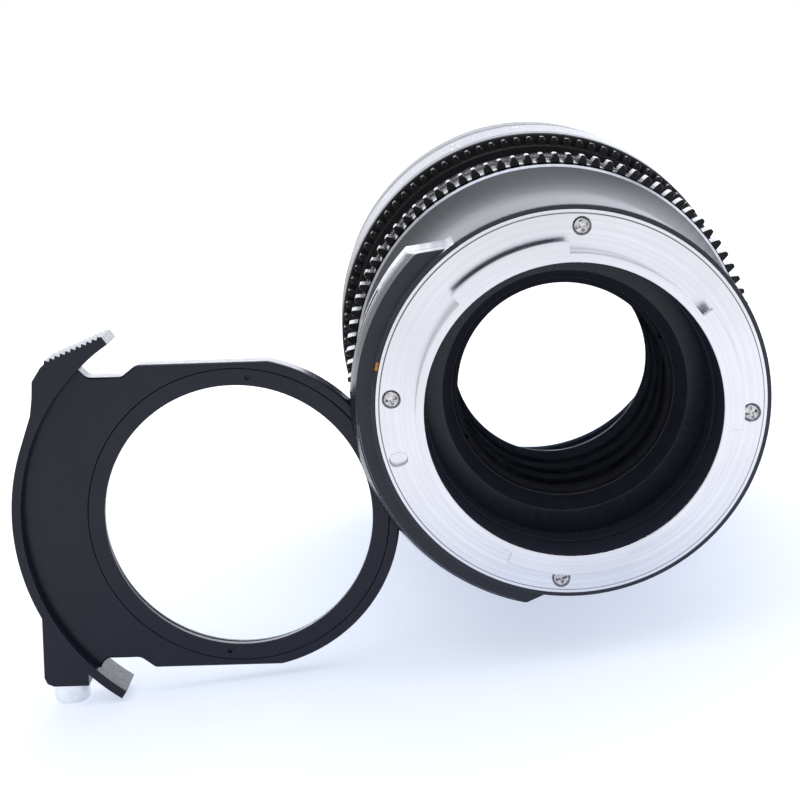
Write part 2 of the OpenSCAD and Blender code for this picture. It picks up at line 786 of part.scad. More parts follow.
module iris_ring() {
    bevel = 0.4;
    color([0.14, 0.14, 0.16])
        difference() {
            union() {
                slab(iris_d, iris_d + gear_w) gear_outline(iris_teeth);
                turned([
                    [inner_barrel_r + fit_gap, iris_d], [gear_root_r(iris_teeth) - 0.3, iris_d],
                    [iris_scale_r, iris_d + gear_w], [iris_scale_r, iris_end_d - bevel],
                    [iris_scale_r - bevel, iris_end_d], [inner_barrel_r + fit_gap, iris_end_d]
                ]);
            }
            translate([0, iris_d - cut_over, 0])
                rotate([-90, 0, 0])
                    cylinder(r = inner_barrel_r + fit_gap, h = iris_ring_w + 2 * cut_over);
            spoke(iris_key_angle, key_d, iris_key_r + 0.02, inner_barrel_r - cut_over,
                inner_barrel_r + key_seat + fit_gap);
        }
}

module index_barrel() {
    bevel = 0.5;
    color([0.14, 0.14, 0.16])
        turned([
            [inner_barrel_r + fit_gap, index_d], [index_barrel_r - bevel, index_d],
            [index_barrel_r, index_d + bevel], [index_barrel_r, index_end_d - bevel],
            [index_barrel_r - bevel, index_end_d], [inner_barrel_r + fit_gap, index_end_d]
        ]);
}

module focus_ring() {
    bevel = 0.5;
    gear_d = focus_d + 0.2;
    sleeve_d = gear_d + gear_w;
    tip_r = gear_root_r(focus_teeth) + 2 * gear_module;
    shoulder_r = tip_r + (front_barrel_r - tip_r) * focus_shoulder;
    color([0.14, 0.14, 0.16])
        difference() {
            union() {
                slab(gear_d, sleeve_d + 0.2) gear_outline(focus_teeth);
                turned([
                    [focus_in_r, focus_d], [gear_root_r(focus_teeth) - 0.3, focus_d],
                    [gear_root_r(focus_teeth) - 0.3, sleeve_d], [shoulder_r - bevel, sleeve_d],
                    [shoulder_r, sleeve_d + bevel], [front_barrel_r, focus_end_d - 2.7],
                    [front_barrel_r, focus_end_d - bevel], [front_barrel_r - bevel, focus_end_d],
                    [focus_in_r, focus_end_d]
                ]);
            }
            translate([0, focus_d - cut_over, 0])
                rotate([-90, 0, 0])
                    cylinder(r = focus_in_r, h = focus_ring_w + 2 * cut_over);
        }
}

// The cam turns with the focus ring and drives the followers along its spiral slots
module focus_cam() {
    cam_slot_len = focus_travel + cam_slot_w;
    end_d = follower_d + focus_travel + cam_slot_w / 2;
    lead = cam_slot_len / cam_rate;
    slot_end_deg = (focus_travel + cam_slot_w / 2) / cam_rate;
    color([0.72, 0.6, 0.3])
        difference() {
            sleeve(cam_r, cam_in_r, focus_d + cam_end_in, focus_end_d - cam_end_in);
            for (i = [0:follower_n - 1])
                translate([0, end_d, 0])
                    rotate([90, 0, 0])
                        linear_extrude(height = cam_slot_len, twist = lead, slices = cam_slices, $fn = 12)
                            rotate(follower_angle + i * 360 / follower_n + slot_end_deg)
                                ring_sector(cam_in_r - 0.6, cam_r + 0.6, -cam_half_deg, cam_half_deg, 6);
        }
}

module cam_followers() {
    color("goldenrod")
        for (i = [0:follower_n - 1])
            spoke(follower_angle + i * 360 / follower_n, follower_d, follower_r,
                follower_seat_r, follower_tip_r);
}

// The focus group: cell, front pair, inner element, spacer and threaded rings
front_ring_t = 2.2;
front_edge = 4;
front_spacer_len = 3;
front_ring_d = cell_end_d - front_ring_t - 0.3;
front_glass_d = front_ring_d - front_edge;
second_glass_d = front_glass_d - front_spacer_len - front_edge;
front_bore_r = front_glass_r + fit_gap;
front_clear_r = front_glass_r - glass_rim;
inner_bore_glass_r = inner_glass_r + fit_gap;
inner_clear_r = inner_glass_r - glass_rim;
inner_ring_t = 2;
inner_edge = 5;
inner_ring_d = cell_d + 0.3;
inner_glass_d = inner_ring_d + inner_ring_t;
inner_seat_d = inner_glass_d + inner_edge;
follower_d = second_glass_d - follower_back;

module focus_cell() {
    color([0.1, 0.1, 0.11])
        difference() {
            turned([
                [inner_bore_glass_r, cell_d], [cell_r, cell_d], [cell_r, cell_end_d],
                [front_bore_r, cell_end_d], [front_bore_r, second_glass_d], [front_clear_r, second_glass_d],
                [inner_clear_r, inner_seat_d + 3], [inner_clear_r, inner_seat_d],
                [inner_bore_glass_r, inner_seat_d]
            ]);
            for (i = [0:follower_n - 1])
                spoke(follower_angle + i * 360 / follower_n, follower_d, follower_r + fit_gap,
                    follower_seat_r - fit_gap, cell_r + cut_over);
        }
}

module front_element() {
    color([0.75, 0.85, 0.95, 0.4])
        element(front_glass_r, front_glass_d, front_glass_d + front_edge, -1, 3.5);
}

module second_element() {
    color([0.75, 0.85, 0.95, 0.4])
        element(front_glass_r, second_glass_d, second_glass_d + front_edge, -2, 1);
}

module front_spacer() {
    from_d = second_glass_d + front_edge;
    color([0.1, 0.1, 0.11]) sleeve(front_glass_r, front_clear_r, from_d, front_glass_d);
}

module front_cell_ring() {
    color([0.1, 0.1, 0.11])
        difference() {
            sleeve(front_glass_r, front_clear_r, front_ring_d, front_ring_d + front_ring_t);
            for (side = [0, 180])
                axial_rod(front_glass_r, side + 50, 0.5,
                    front_ring_d + front_ring_t / 2, cell_end_d + cut_over);
        }
}

module inner_element() {
    color([0.75, 0.85, 0.95, 0.4])
        element(inner_glass_r, inner_glass_d, inner_glass_d + inner_edge, -1.5, 2);
}

module inner_cell_ring() {
    color([0.1, 0.1, 0.11]) sleeve(inner_glass_r, inner_clear_r, inner_ring_d, inner_glass_d);
}

// The front barrel screws onto the inner barrel and carries the filter thread
bezel_t = 1.5;
bezel_gap = 0.6;
thread_relief = 0.8;
relief_depth = 0.4;
thread_d = front_end_d - front_thread_len;
front_seat_d = thread_d - thread_relief - bezel_t;

module front_barrel() {
    bevel = 0.6;
    color([0.14, 0.14, 0.16])
        turned([
            [inner_barrel_r + fit_gap, front_d], [front_barrel_r - bevel, front_d],
            [front_barrel_r, front_d + bevel], [front_barrel_r, front_end_d - bevel],
            [front_barrel_r - bevel, front_end_d], [front_thread_r, front_end_d],
            [front_thread_r, thread_d], [front_thread_r + relief_depth, thread_d],
            [front_thread_r + relief_depth, front_seat_d], [cell_r + bezel_gap, front_seat_d],
            [cell_r + bezel_gap, inner_end_d + fit_gap], [inner_barrel_r + fit_gap, inner_end_d + fit_gap]
        ]);
}

module front_bezel() {
    color([0.1, 0.1, 0.11])
        turned([
            [cell_r + bezel_gap, front_seat_d], [front_thread_r - fit_gap, front_seat_d],
            [front_thread_r - fit_gap, front_seat_d + bezel_t],
            [cell_r + bezel_gap + 2, front_seat_d + bezel_t]
        ]);
}

// The tray's frame: a round end and two flats, a waist, and a tongue that the grip holds
module tray_outline() {
    intersection() {
        circle(r = tray_end_r);
        square([2 * tray_end_r, 2 * tray_half_w], center = true);
    }
    polygon([
        [0, -tray_half_w], [waist_start_u, -tray_half_w], [waist_u, -tray_waist_half_w],
        [waist_end_u, -tray_waist_half_w], [waist_end_u, tray_waist_half_w],
        [waist_u, tray_waist_half_w], [waist_start_u, tray_half_w], [0, tray_half_w]
    ]);
    intersection() {
        circle(r = tongue_r);
        pie(tongue_r, -joint_half_angle, joint_half_angle);
    }
}

module tray_frame() {
    color([0.13, 0.13, 0.15])
        tray_place()
            difference() {
                slab(tray_d, tray_end_d) tray_outline();
                translate([0, tray_d - cut_over, 0])
                    rotate([-90, 0, 0])
                        cylinder(r = tray_hole_r, h = tray_t + 2 * cut_over);
                translate([0, tray_d - cut_over, 0])
                    rotate([-90, 0, 0])
                        cylinder(r = filter_r + fit_gap, h = ledge_d - tray_d + cut_over);
                translate([0, tray_d - cut_over, 0])
                    rotate([-90, 0, 0])
                        cylinder(r = tray_ring_r + fit_gap, h = tray_ring_t + cut_over);
            }
}

module tray_ring() {
    color([0.13, 0.13, 0.15])
        tray_place()
            difference() {
                sleeve(tray_ring_r, tray_hole_r, tray_d, tray_d + tray_ring_t);
                for (side = [0, 180])
                    axial_rod(spanner_circle_r, spanner_angle + side, spanner_hole_r, tray_d - cut_over,
                        tray_d + tray_ring_t + cut_over);
            }
}

module filter_glass() {
    color([0.8, 0.9, 0.95, 0.3])
        tray_place()
            translate([0, glass_d, 0])
                rotate([-90, 0, 0])
                    cylinder(r = filter_r, h = filter_t);
}

// The thumb lug at one end of the grip: a serrated edge, a bluff corner and a hollow side
module lug_outline() {
    from_p = polar(grip_r - 0.3, -grip_half_angle + 0.1);
    to_p = polar(grip_r + lug_rise, -42.1);
    along = (to_p - from_p) / serrations;
    out = [along[1], -along[0]] / norm(along);
    teeth = [for (i = [0:serrations - 1]) for (k = [0, 1])
        from_p + along * (i + 0.65 * k) + out * serration_h * k];
    corners = [[1.04, -41], [0.97, -37], [0.5, -33.4], [0.15, -29.4], [0, -21]];
    polygon(concat(
        teeth,
        [to_p],
        [for (c = corners) polar(grip_r + lug_rise * c[0], c[1])],
        [polar(grip_in_r - 4, -29.7)]
    ));
}

module boss_outline() {
    polygon([
        [boss_u[0], boss_v[0]], [grip_r - 4, boss_v[0] - 3], [boss_u[1] - 0.4, boss_v[0]],
        [boss_u[1], boss_v[1] - boss_round], [boss_u[1] - boss_round * 0.3, boss_v[1] - boss_round * 0.3],
        [boss_u[1] - boss_round, boss_v[1]], [boss_u[0], boss_v[1]]
    ]);
}

// The grip closes the slot's mouth: band and hooks, thumb lug, and the boss of the release button
module tray_grip() {
    button_axis_d = (grip_d + grip_end_d) / 2;
    color([0.13, 0.13, 0.15])
        tray_place()
            difference() {
                slab(grip_d, grip_end_d) {
                    intersection() {
                        circle(r = grip_r);
                        pie(grip_r, -grip_half_angle, lower_hook_angle);
                    }
                    lug_outline();
                    boss_outline();
                }
                translate([0, grip_d - cut_over, 0])
                    rotate([-90, 0, 0])
                        cylinder(r = grip_in_r, h = grip_w + 2 * cut_over);
                slab(tray_d - fit_gap, tray_end_d + fit_gap)
                    intersection() {
                        circle(r = tongue_r + fit_gap);
                        pie(tongue_r, -joint_half_angle - 0.2, joint_half_angle + 0.2);
                    }
                translate([button_u, button_axis_d, boss_v[1] - button_bore_depth])
                    cylinder(r = button_r + fit_gap, h = button_bore_depth + cut_over, $fn = 48);
                translate([button_u, button_axis_d, boss_v[1] - stem_hole_depth])
                    cylinder(r = button_stem_r + fit_gap, h = stem_hole_depth, $fn = 48);
            }
}

module release_button() {
    steps = 6;
    top_v = boss_v[1] + button_reach;
    head_v = boss_v[1] - button_head_in;
    edge = [for (i = [0:steps]) [
        button_r - button_round * (1 - cos(90 * i / steps)),
        top_v - button_round * (1 - sin(90 * i / steps))
    ]];
    color("gainsboro")
        tray_place()
            translate([button_u, (grip_d + grip_end_d) / 2, 0])
                rotate_extrude($fn = 48)
                    polygon(concat(
                        [[0, head_v - button_stem_len], [button_stem_r, head_v - button_stem_len],
                        [button_stem_r, head_v], [button_r, head_v]],
                        edge,
                        [[0, top_v]]
                    ));
}

module button_spring() {
    floor_v = boss_v[1] - button_bore_depth;
    color("silver")
        tray_place()
            translate([button_u, (grip_d + grip_end_d) / 2, floor_v + fit_gap])
                rotate_extrude($fn = 48)
                    translate([button_stem_r + spring_gap, 0])
                        square([spring_wire, button_bore_depth - button_head_in - 2 * fit_gap]);
}

mount_bayonet();
mount_screws();
mount_shim();
rear_plate();
mount_index_dot();
slot_body();
rear_barrel();
inner_barrel();
rear_cell();
rear_cell_ring();
rear_element();
rear_spacer(0);
relay_element();
rear_spacer(1);  // relay_spacer
stop_element();
iris_base();
iris_keeper();
iris_rotor();
iris_key();
iris_ring();
index_barrel();
focus_ring();
focus_cam();
cam_followers();
focus_cell();
front_element();
front_spacer();
second_element();
front_cell_ring();
inner_element();
inner_cell_ring();
front_barrel();
front_bezel();
tray_frame();
tray_ring();
filter_glass();
tray_grip();
release_button();
button_spring();
for (i = [1:blade_n])
    iris_blade(i - 1);
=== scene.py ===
import math

import bmesh
import bpy
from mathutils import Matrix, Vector


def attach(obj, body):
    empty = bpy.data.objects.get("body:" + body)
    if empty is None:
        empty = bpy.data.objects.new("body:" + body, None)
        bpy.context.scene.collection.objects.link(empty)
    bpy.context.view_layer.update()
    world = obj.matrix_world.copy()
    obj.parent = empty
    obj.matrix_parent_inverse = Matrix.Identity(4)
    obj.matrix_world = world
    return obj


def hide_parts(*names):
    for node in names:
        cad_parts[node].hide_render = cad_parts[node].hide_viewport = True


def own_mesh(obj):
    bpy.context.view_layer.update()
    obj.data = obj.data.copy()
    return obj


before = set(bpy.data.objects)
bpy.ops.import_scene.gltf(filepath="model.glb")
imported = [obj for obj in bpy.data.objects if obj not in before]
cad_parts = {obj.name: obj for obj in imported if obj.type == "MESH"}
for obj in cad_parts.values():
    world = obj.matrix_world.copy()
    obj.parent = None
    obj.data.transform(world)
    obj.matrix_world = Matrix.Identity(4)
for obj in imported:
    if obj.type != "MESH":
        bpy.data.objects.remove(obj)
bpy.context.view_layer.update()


# ---------------------------------------------------------------- bayonet mount
# One piece of stainless steel: the flange, the tube that enters the camera and its three lugs.
# It is turned and milled, its edges are broken by hand, and its face keeps fine turning lines.
MM = 0.001


def merged(node, name):
    """A merged copy of a CAD solid, without its stored normals."""
    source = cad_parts[node].data
    mesh = bpy.data.meshes.new(name)
    mesh.from_pydata([v.co[:] for v in source.vertices], [], [p.vertices[:] for p in source.polygons])
    work = bmesh.new()
    work.from_mesh(mesh)
    bmesh.ops.remove_doubles(work, verts=work.verts, dist=2e-6)
    bmesh.ops.dissolve_degenerate(work, edges=work.edges, dist=1e-6)
    bmesh.ops.dissolve_limit(work, angle_limit=math.radians(0.2), verts=[], edges=work.edges)
    work.to_mesh(mesh)
    work.free()
    return shown(name, mesh)


def shown(name, mesh):
    piece = bpy.data.objects.new(name, mesh)
    bpy.context.scene.collection.objects.link(piece)
    return piece


def smooth(piece, angle):
    """Smooth faces, with the edges past an angle kept sharp."""
    piece.data.shade_smooth()
    piece.data.set_sharp_from_angle(angle=math.radians(angle))
    return piece


EDGE_ANGLE = 28


def broken_edges(piece, width, steps=2):
    """Smooth faces, and every sharp edge broken by a small round."""
    edge = smooth(piece, EDGE_ANGLE).modifiers.new("edge break", "BEVEL")
    edge.width = width * MM
    edge.segments = steps
    edge.limit_method = "ANGLE"
    edge.angle_limit = math.radians(EDGE_ANGLE)
    edge.use_clamp_overlap = False
    edge.harden_normals = True
    edge.miter_outer = "MITER_ARC"
    return piece


def worn_rim(piece, centre, reach, width, fine, inner=False):
    """Edges beyond a radius (or within it) get a wide round, the rest a fine one."""
    broken_edges(piece, width, 3)
    piece.modifiers["edge break"].limit_method = "WEIGHT"
    work = bmesh.new()
    work.from_mesh(piece.data)
    share = work.edges.layers.float.new("bevel_weight_edge")
    for edge in work.edges:
        if len(edge.link_faces) == 2 and edge.calc_face_angle() > math.radians(EDGE_ANGLE):
            middle = (edge.verts[0].co + edge.verts[1].co) / 2
            beyond = math.hypot(middle.x - centre[0] * MM, middle.z - centre[1] * MM) > reach * MM
            edge[share] = 1.0 if beyond != inner else fine
    work.to_mesh(piece.data)
    work.free()
    return piece


def fitted(piece, material, body, slot, *nodes):
    """Gives a piece its finish, its body, and the CAD solids that it stands for; its slot is not used."""
    piece.data.materials.clear()
    piece.data.materials.append(material)
    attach(piece, body)
    if nodes:
        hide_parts(*nodes)
    return piece


def joined(tree, kind, inputs=None, **settings):
    """A shader node with its settings, and its inputs set or wired."""
    node = tree.nodes.new(kind)
    for key, value in settings.items():
        setattr(node, key, value)
    for key, value in (inputs or {}).items():
        if isinstance(value, bpy.types.NodeSocket):
            tree.links.new(value, node.inputs[key])
        else:
            node.inputs[key].default_value = value
    return node


def blank_finish(name):
    material = bpy.data.materials.new(name)
    material.use_nodes = True
    tree = material.node_tree
    return material, tree, tree.nodes["Principled BSDF"]


def object_place(tree):
    return joined(tree, "ShaderNodeTexCoord").outputs["Object"]


def from_axis(tree):
    """Distance from the lens axis, and depth along it."""
    parts = joined(tree, "ShaderNodeSeparateXYZ", {0: object_place(tree)})
    flat = joined(tree, "ShaderNodeCombineXYZ", {0: parts.outputs[0], 1: parts.outputs[2]})
    radius = joined(tree, "ShaderNodeVectorMath", {0: flat.outputs[0]}, operation="LENGTH")
    return radius.outputs["Value"], parts.outputs[1]


def turning_lines(tree, per_metre):
    """A height that runs round the lens axis like the marks of a lathe tool."""
    along = joined(tree, "ShaderNodeMath", dict(enumerate(from_axis(tree))))
    lines = joined(tree, "ShaderNodeTexNoise",
                   {"W": along.outputs[0], "Scale": per_metre, "Detail": 3.0}, noise_dimensions="1D")
    return lines.outputs[0]


def cloud(tree, per_metre, detail=3.0):
    return joined(tree, "ShaderNodeTexNoise",
                  {"Vector": object_place(tree), "Scale": per_metre, "Detail": detail}).outputs[0]


def spread(tree, value, low, high, from_low=0.3, from_high=0.7):
    """Stretches a pattern's middle to a range of values."""
    return joined(tree, "ShaderNodeMapRange",
                  {"Value": value, "From Min": from_low, "From Max": from_high,
                   "To Min": low, "To Max": high}).outputs[0]


def tones(tree, value, dark, light):
    mix = joined(tree, "ShaderNodeMix", {"Factor": value}, data_type="RGBA")
    mix.inputs["A"].default_value = (*dark, 1)
    mix.inputs["B"].default_value = (*light, 1)
    return mix.outputs["Result"]


def relief(tree, height, strength, distance, under=None):
    bump = joined(tree, "ShaderNodeBump",
                  {"Height": height, "Strength": strength, "Distance": distance * MM})
    if under is not None:
        tree.links.new(under, bump.inputs["Normal"])
    return bump.outputs["Normal"]


def turned_steel(name, light, dark, low_rough, high_rough, shade_ring_r):
    """Turned steel: even lines round the axis, clouds of polish, a thin ring of painted shade standing for
    a fine groove, and a stretched gloss.
    """
    material, tree, shader = blank_finish(name)
    lines = turning_lines(tree, 1500)
    polish = cloud(tree, 45)
    both = joined(tree, "ShaderNodeMath", {0: lines, 1: polish}, operation="MULTIPLY_ADD")
    both.inputs[2].default_value = 0.12
    wire = tree.links.new
    # A thin ring at one radius is painted dark: the painted shade of a fine groove that has no geometry.
    shade_ring = joined(tree, "ShaderNodeMath", {0: from_axis(tree)[0], 1: shade_ring_r * MM, 2: 0.1 * MM},
                    operation="COMPARE")
    face = tones(tree, spread(tree, both.outputs[0], 0, 1, 0.2, 0.55), dark, light)
    shaded_face = joined(tree, "ShaderNodeMix", {"Factor": shade_ring.outputs[0], "A": face}, data_type="RGBA")
    shaded_face.inputs["B"].default_value = (0.17, 0.17, 0.18, 1)
    wire(shaded_face.outputs["Result"], shader.inputs["Base Color"])
    wire(spread(tree, lines, low_rough, high_rough), shader.inputs["Roughness"])
    wire(relief(tree, turning_lines(tree, 9000), 0.12, 0.01), shader.inputs["Normal"])
    shader.inputs["Metallic"].default_value = 1.0
    shader.inputs["Anisotropic"].default_value = 0.55
    round_axis = joined(tree, "ShaderNodeVectorMath", {0: (0, 1, 0), 1: object_place(tree)},
                        operation="CROSS_PRODUCT")
    wire(round_axis.outputs[0], shader.inputs["Tangent"])
    return material


steel = turned_steel("satin_turned_steel", (0.70, 0.71, 0.76), (0.565, 0.573, 0.61), 0.15, 0.24, 31.1)
mount = worn_rim(merged("mount_bayonet", "bayonet_mount"), (0, 0), 24.2, 0.25, 0.48, inner=True)
fitted(mount, steel, "lens_body", "mount_steel", "mount_bayonet")


# ---------------------------------------------------------------- flange screws
# Four flat-headed machine screws of plain steel with a cross recess hold the mount.
# Their heads are sunk in the flange, and the recess is pressed, so its mouth is a little rounded.
SCREW_CIRCLE_R, SCREW_FIRST, SCREW_COUNT = 29.1, 79.8, 4
SCREW_HEAD_R, SCREW_TOP, SCREW_SHANK_R, SCREW_END = 1.45, 0.05, 0.9, 6.0


def round_axis_tree():
    """Geometry Nodes: copies of one piece, set round the lens axis at an even step."""
    tree = bpy.data.node_groups.new("pieces_round_the_axis", "GeometryNodeTree")
    ask = tree.interface.new_socket
    for label, kind in (("Piece", "Object"), ("Count", "Int"), ("First clock", "Float"),
                        ("Step", "Float"), ("Finish", "Material")):
        ask(label, in_out="INPUT", socket_type="NodeSocket" + kind)
    ask("Geometry", in_out="OUTPUT", socket_type="NodeSocketGeometry")
    given = tree.nodes.new("NodeGroupInput").outputs
    piece = joined(tree, "GeometryNodeObjectInfo", {"Object": given["Piece"]})
    seats = joined(tree, "GeometryNodeMeshLine", {"Count": given["Count"], "Offset": (0, 0, 0)})
    index = tree.nodes.new("GeometryNodeInputIndex").outputs[0]
    clock = joined(tree, "ShaderNodeMath", {0: index, 1: given["Step"], 2: given["First clock"]},
                   operation="MULTIPLY_ADD")
    turn = joined(tree, "ShaderNodeMath", {0: clock.outputs[0], 1: -1.0}, operation="MULTIPLY")
    euler = joined(tree, "ShaderNodeCombineXYZ", {"Y": turn.outputs[0]})
    rotation = joined(tree, "FunctionNodeEulerToRotation", {0: euler.outputs[0]})
    copies = joined(tree, "GeometryNodeInstanceOnPoints",
                    {"Points": seats.outputs["Mesh"], "Instance": piece.outputs["Geometry"]})
    placed = joined(tree, "GeometryNodeRotateInstances",
                    {"Instances": copies.outputs[0], "Rotation": rotation.outputs[0],
                     "Pivot Point": (0, 0, 0), "Local Space": False})
    real = joined(tree, "GeometryNodeRealizeInstances", {0: placed.outputs[0]})
    coated = joined(tree, "GeometryNodeSetMaterial",
                    {"Geometry": real.outputs[0], "Material": given["Finish"]})
    joined(tree, "NodeGroupOutput", {0: coated.outputs[0]})
    return tree


ROUND_AXIS = round_axis_tree()


def evaluated_mesh(holder):
    """The plain mesh that an object's modifiers give."""
    depsgraph = bpy.context.evaluated_depsgraph_get()
    return bpy.data.meshes.new_from_object(holder.evaluated_get(depsgraph), depsgraph=depsgraph)


def grown(name, tree, wanted):
    """The plain mesh that a Geometry Nodes tree gives for its named inputs."""
    holder = shown(name + "_holder", bpy.data.meshes.new(name + "_holder"))
    nodes = holder.modifiers.new("nodes", "NODES")
    nodes.node_group = tree
    for socket in tree.interface.items_tree:
        if socket.in_out == "INPUT":
            nodes[socket.identifier] = wanted[socket.name]
    mesh = evaluated_mesh(holder)
    mesh.name = name
    bpy.data.objects.remove(holder)
    return mesh


def set_round(name, one, count, first, step, finish):
    """Copies of one piece round the axis, which take its place."""
    mesh = grown(name, ROUND_AXIS, {"Piece": one, "Count": count, "First clock": math.radians(first),
                                    "Step": math.radians(step), "Finish": finish})
    bpy.data.objects.remove(one)
    return shown(name, mesh)


def screw_blank():
    """One screw at the first place on the circle: a lathed body whose head has a cross cut in it."""
    arm, half, deep = 1.0, 0.24, 0.5
    work = bmesh.new()
    ring = [(SCREW_HEAD_R - 0.34, SCREW_TOP), (SCREW_HEAD_R - 0.26, SCREW_TOP + 0.06),
            (SCREW_HEAD_R - 0.18, 0.45), (SCREW_SHANK_R, 0.80), (SCREW_SHANK_R, SCREW_END)]
    turns = 32
    loops = []
    for r, d in ring:
        loops.append([work.verts.new((r * math.cos(2 * math.pi * k / turns), d,
                                      r * math.sin(2 * math.pi * k / turns))) for k in range(turns)])
    for near, far in zip(loops, loops[1:]):
        for k in range(turns):
            work.faces.new((near[k], near[(k + 1) % turns], far[(k + 1) % turns], far[k]))
    work.faces.new(loops[-1])
    cross = [(arm, -half), (arm, half), (half, half), (half, arm), (-half, arm), (-half, half),
             (-arm, half), (-arm, -half), (-half, -half), (-half, -arm), (half, -arm), (half, -half)]
    rim = [work.verts.new((x, SCREW_TOP, z)) for x, z in cross]
    mouth = [work.verts.new((x * 0.93, SCREW_TOP + 0.10, z * 0.93)) for x, z in cross]
    foot = [work.verts.new((x * 0.62, SCREW_TOP + deep, z * 0.8)) for x, z in cross]
    for near, far in ((rim, mouth), (mouth, foot)):
        for k in range(12):
            work.faces.new((near[k], near[(k + 1) % 12], far[(k + 1) % 12], far[k]))
    work.faces.new(foot)
    edges = [work.edges.get((loops[0][k], loops[0][(k + 1) % turns])) for k in range(turns)]
    edges += [work.edges.get((rim[k], rim[(k + 1) % 12])) for k in range(12)]
    bmesh.ops.triangle_fill(work, edges=edges, use_beauty=True)
    turn = math.radians(20)
    for v in work.verts:
        x, z = v.co.x, v.co.z
        v.co = Vector((SCREW_CIRCLE_R + x * math.cos(turn) - z * math.sin(turn), v.co.y,
                       x * math.sin(turn) + z * math.cos(turn))) * MM
    bmesh.ops.recalc_face_normals(work, faces=work.faces)
    mesh = bpy.data.meshes.new("screw_blank")
    work.to_mesh(mesh)
    work.free()
    return shown("screw_blank", mesh)


def scuffed_metal(name, light, dark, low_rough, high_rough, grain):
    """Plain bright metal with a fine cloud of scuffs."""
    material, tree, shader = blank_finish(name)
    scuffs = cloud(tree, grain, 4.0)
    wire = tree.links.new
    wire(tones(tree, spread(tree, scuffs, 0, 1), dark, light), shader.inputs["Base Color"])
    wire(spread(tree, cloud(tree, grain * 2.3), low_rough, high_rough), shader.inputs["Roughness"])
    wire(relief(tree, scuffs, 0.2, 0.01), shader.inputs["Normal"])
    shader.inputs["Metallic"].default_value = 1.0
    return material


screw_steel = scuffed_metal("screw_steel", (0.68, 0.68, 0.68), (0.28, 0.28, 0.29), 0.2, 0.38, 1300)
screws = set_round("flange_screws", screw_blank(), SCREW_COUNT, SCREW_FIRST, 360 / SCREW_COUNT, screw_steel)
smooth(screws, 30)
fitted(screws, screw_steel, "lens_body", "screw_steel", "mount_screws")


# ---------------------------------------------------------------- shim under the mount
# A punched ring of thin brass sheet sets the distance from the flange to the film plane.
# It lies loose between the mount and the rear plate, held by the four screws.
def coat(material, *nodes):
    """Gives CAD solids that stay as they are their finish."""
    for name in nodes:
        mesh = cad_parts[name].data
        mesh.materials.clear()
        mesh.materials.append(material)


brass = scuffed_metal("rolled_brass", (0.74, 0.55, 0.25), (0.58, 0.41, 0.17), 0.22, 0.42, 900)
coat(brass, "mount_shim")


# ---------------------------------------------------------------- rear plate, slot body and index dot
# The housing of the filter slot: two milled aluminium pieces, bead-blasted and anodised black.
# A spot of orange paint in the collar shows how the lens goes onto the camera.
def anodised(name, dark, light, low_rough, high_rough, grain=5200, blast=0.12, wear_and_highlight=0.0, gloss=0.5):
    """Anodised aluminium: near black, with the fine blasted grain under the dye, and edges painted paler,
    partly for wear and partly as a painted highlight.
    """
    material, tree, shader = blank_finish(name)
    wire = tree.links.new
    colour = tones(tree, spread(tree, cloud(tree, 140), 0, 1), dark, light)
    if wear_and_highlight:
        # Edges are painted paler, partly for wear and partly as a painted highlight along them.
        rounded = joined(tree, "ShaderNodeBevel", {"Radius": 0.35 * MM}, samples=4)
        straight = joined(tree, "ShaderNodeNewGeometry")
        level = joined(tree, "ShaderNodeVectorMath",
                       {0: rounded.outputs[0], 1: straight.outputs["Normal"]}, operation="DOT_PRODUCT")
        edge = spread(tree, level.outputs["Value"], wear_and_highlight, 0.0, 0.86, 0.985)
        edge_wear_and_highlight = joined(tree, "ShaderNodeMix", {"Factor": edge, "A": colour}, data_type="RGBA")
        edge_wear_and_highlight.inputs["B"].default_value = (0.16, 0.165, 0.18, 1)
        colour = edge_wear_and_highlight.outputs["Result"]
    wire(colour, shader.inputs["Base Color"])
    wire(spread(tree, cloud(tree, 900), low_rough, high_rough), shader.inputs["Roughness"])
    wire(relief(tree, cloud(tree, grain, 2.0), blast, 0.02), shader.inputs["Normal"])
    shader.inputs["Specular IOR Level"].default_value = gloss
    return material


housing_black = anodised("blasted_black_anodise", (0.030, 0.034, 0.052), (0.037, 0.042, 0.063),
                         0.22, 0.30, blast=0.02, wear_and_highlight=0.15, gloss=0.3)
plate = worn_rim(merged("rear_plate", "rear_plate_shell"), (0, 0), 33.5, 0.3, 0.17)
fitted(plate, housing_black, "lens_body", "housing_black", "rear_plate")
slot_shell = broken_edges(merged("slot_body", "slot_body_shell"), 0.08)
fitted(slot_shell, housing_black, "lens_body", "housing_black", "slot_body")


def paint(name, light, dark):
    """Thick paint: a slightly uneven colour and a soft skin."""
    material, tree, shader = blank_finish(name)
    wire = tree.links.new
    wire(tones(tree, spread(tree, cloud(tree, 2500), 0, 1), dark, light), shader.inputs["Base Color"])
    wire(spread(tree, cloud(tree, 1700), 0.32, 0.5), shader.inputs["Roughness"])
    wire(relief(tree, cloud(tree, 4000), 0.15, 0.01), shader.inputs["Normal"])
    return material


dot_paint = paint("orange_index_paint", (0.95, 0.36, 0.03), (0.85, 0.28, 0.02))
INDEX_CLOCK, INDEX_R, INDEX_HALF_W, INDEX_HALF_LEN = math.radians(160.5), 32.08, 0.24, 0.7


def closed(name, points, faces, merge=None):
    """A piece from points and faces, its doubles merged if asked, and its faces turned outwards."""
    mesh = bpy.data.meshes.new(name)
    mesh.from_pydata(points, [], faces)
    work = bmesh.new()
    work.from_mesh(mesh)
    if merge:
        bmesh.ops.remove_doubles(work, verts=work.verts, dist=merge)
    bmesh.ops.recalc_face_normals(work, faces=work.faces)
    work.to_mesh(mesh)
    work.free()
    return shown(name, mesh)


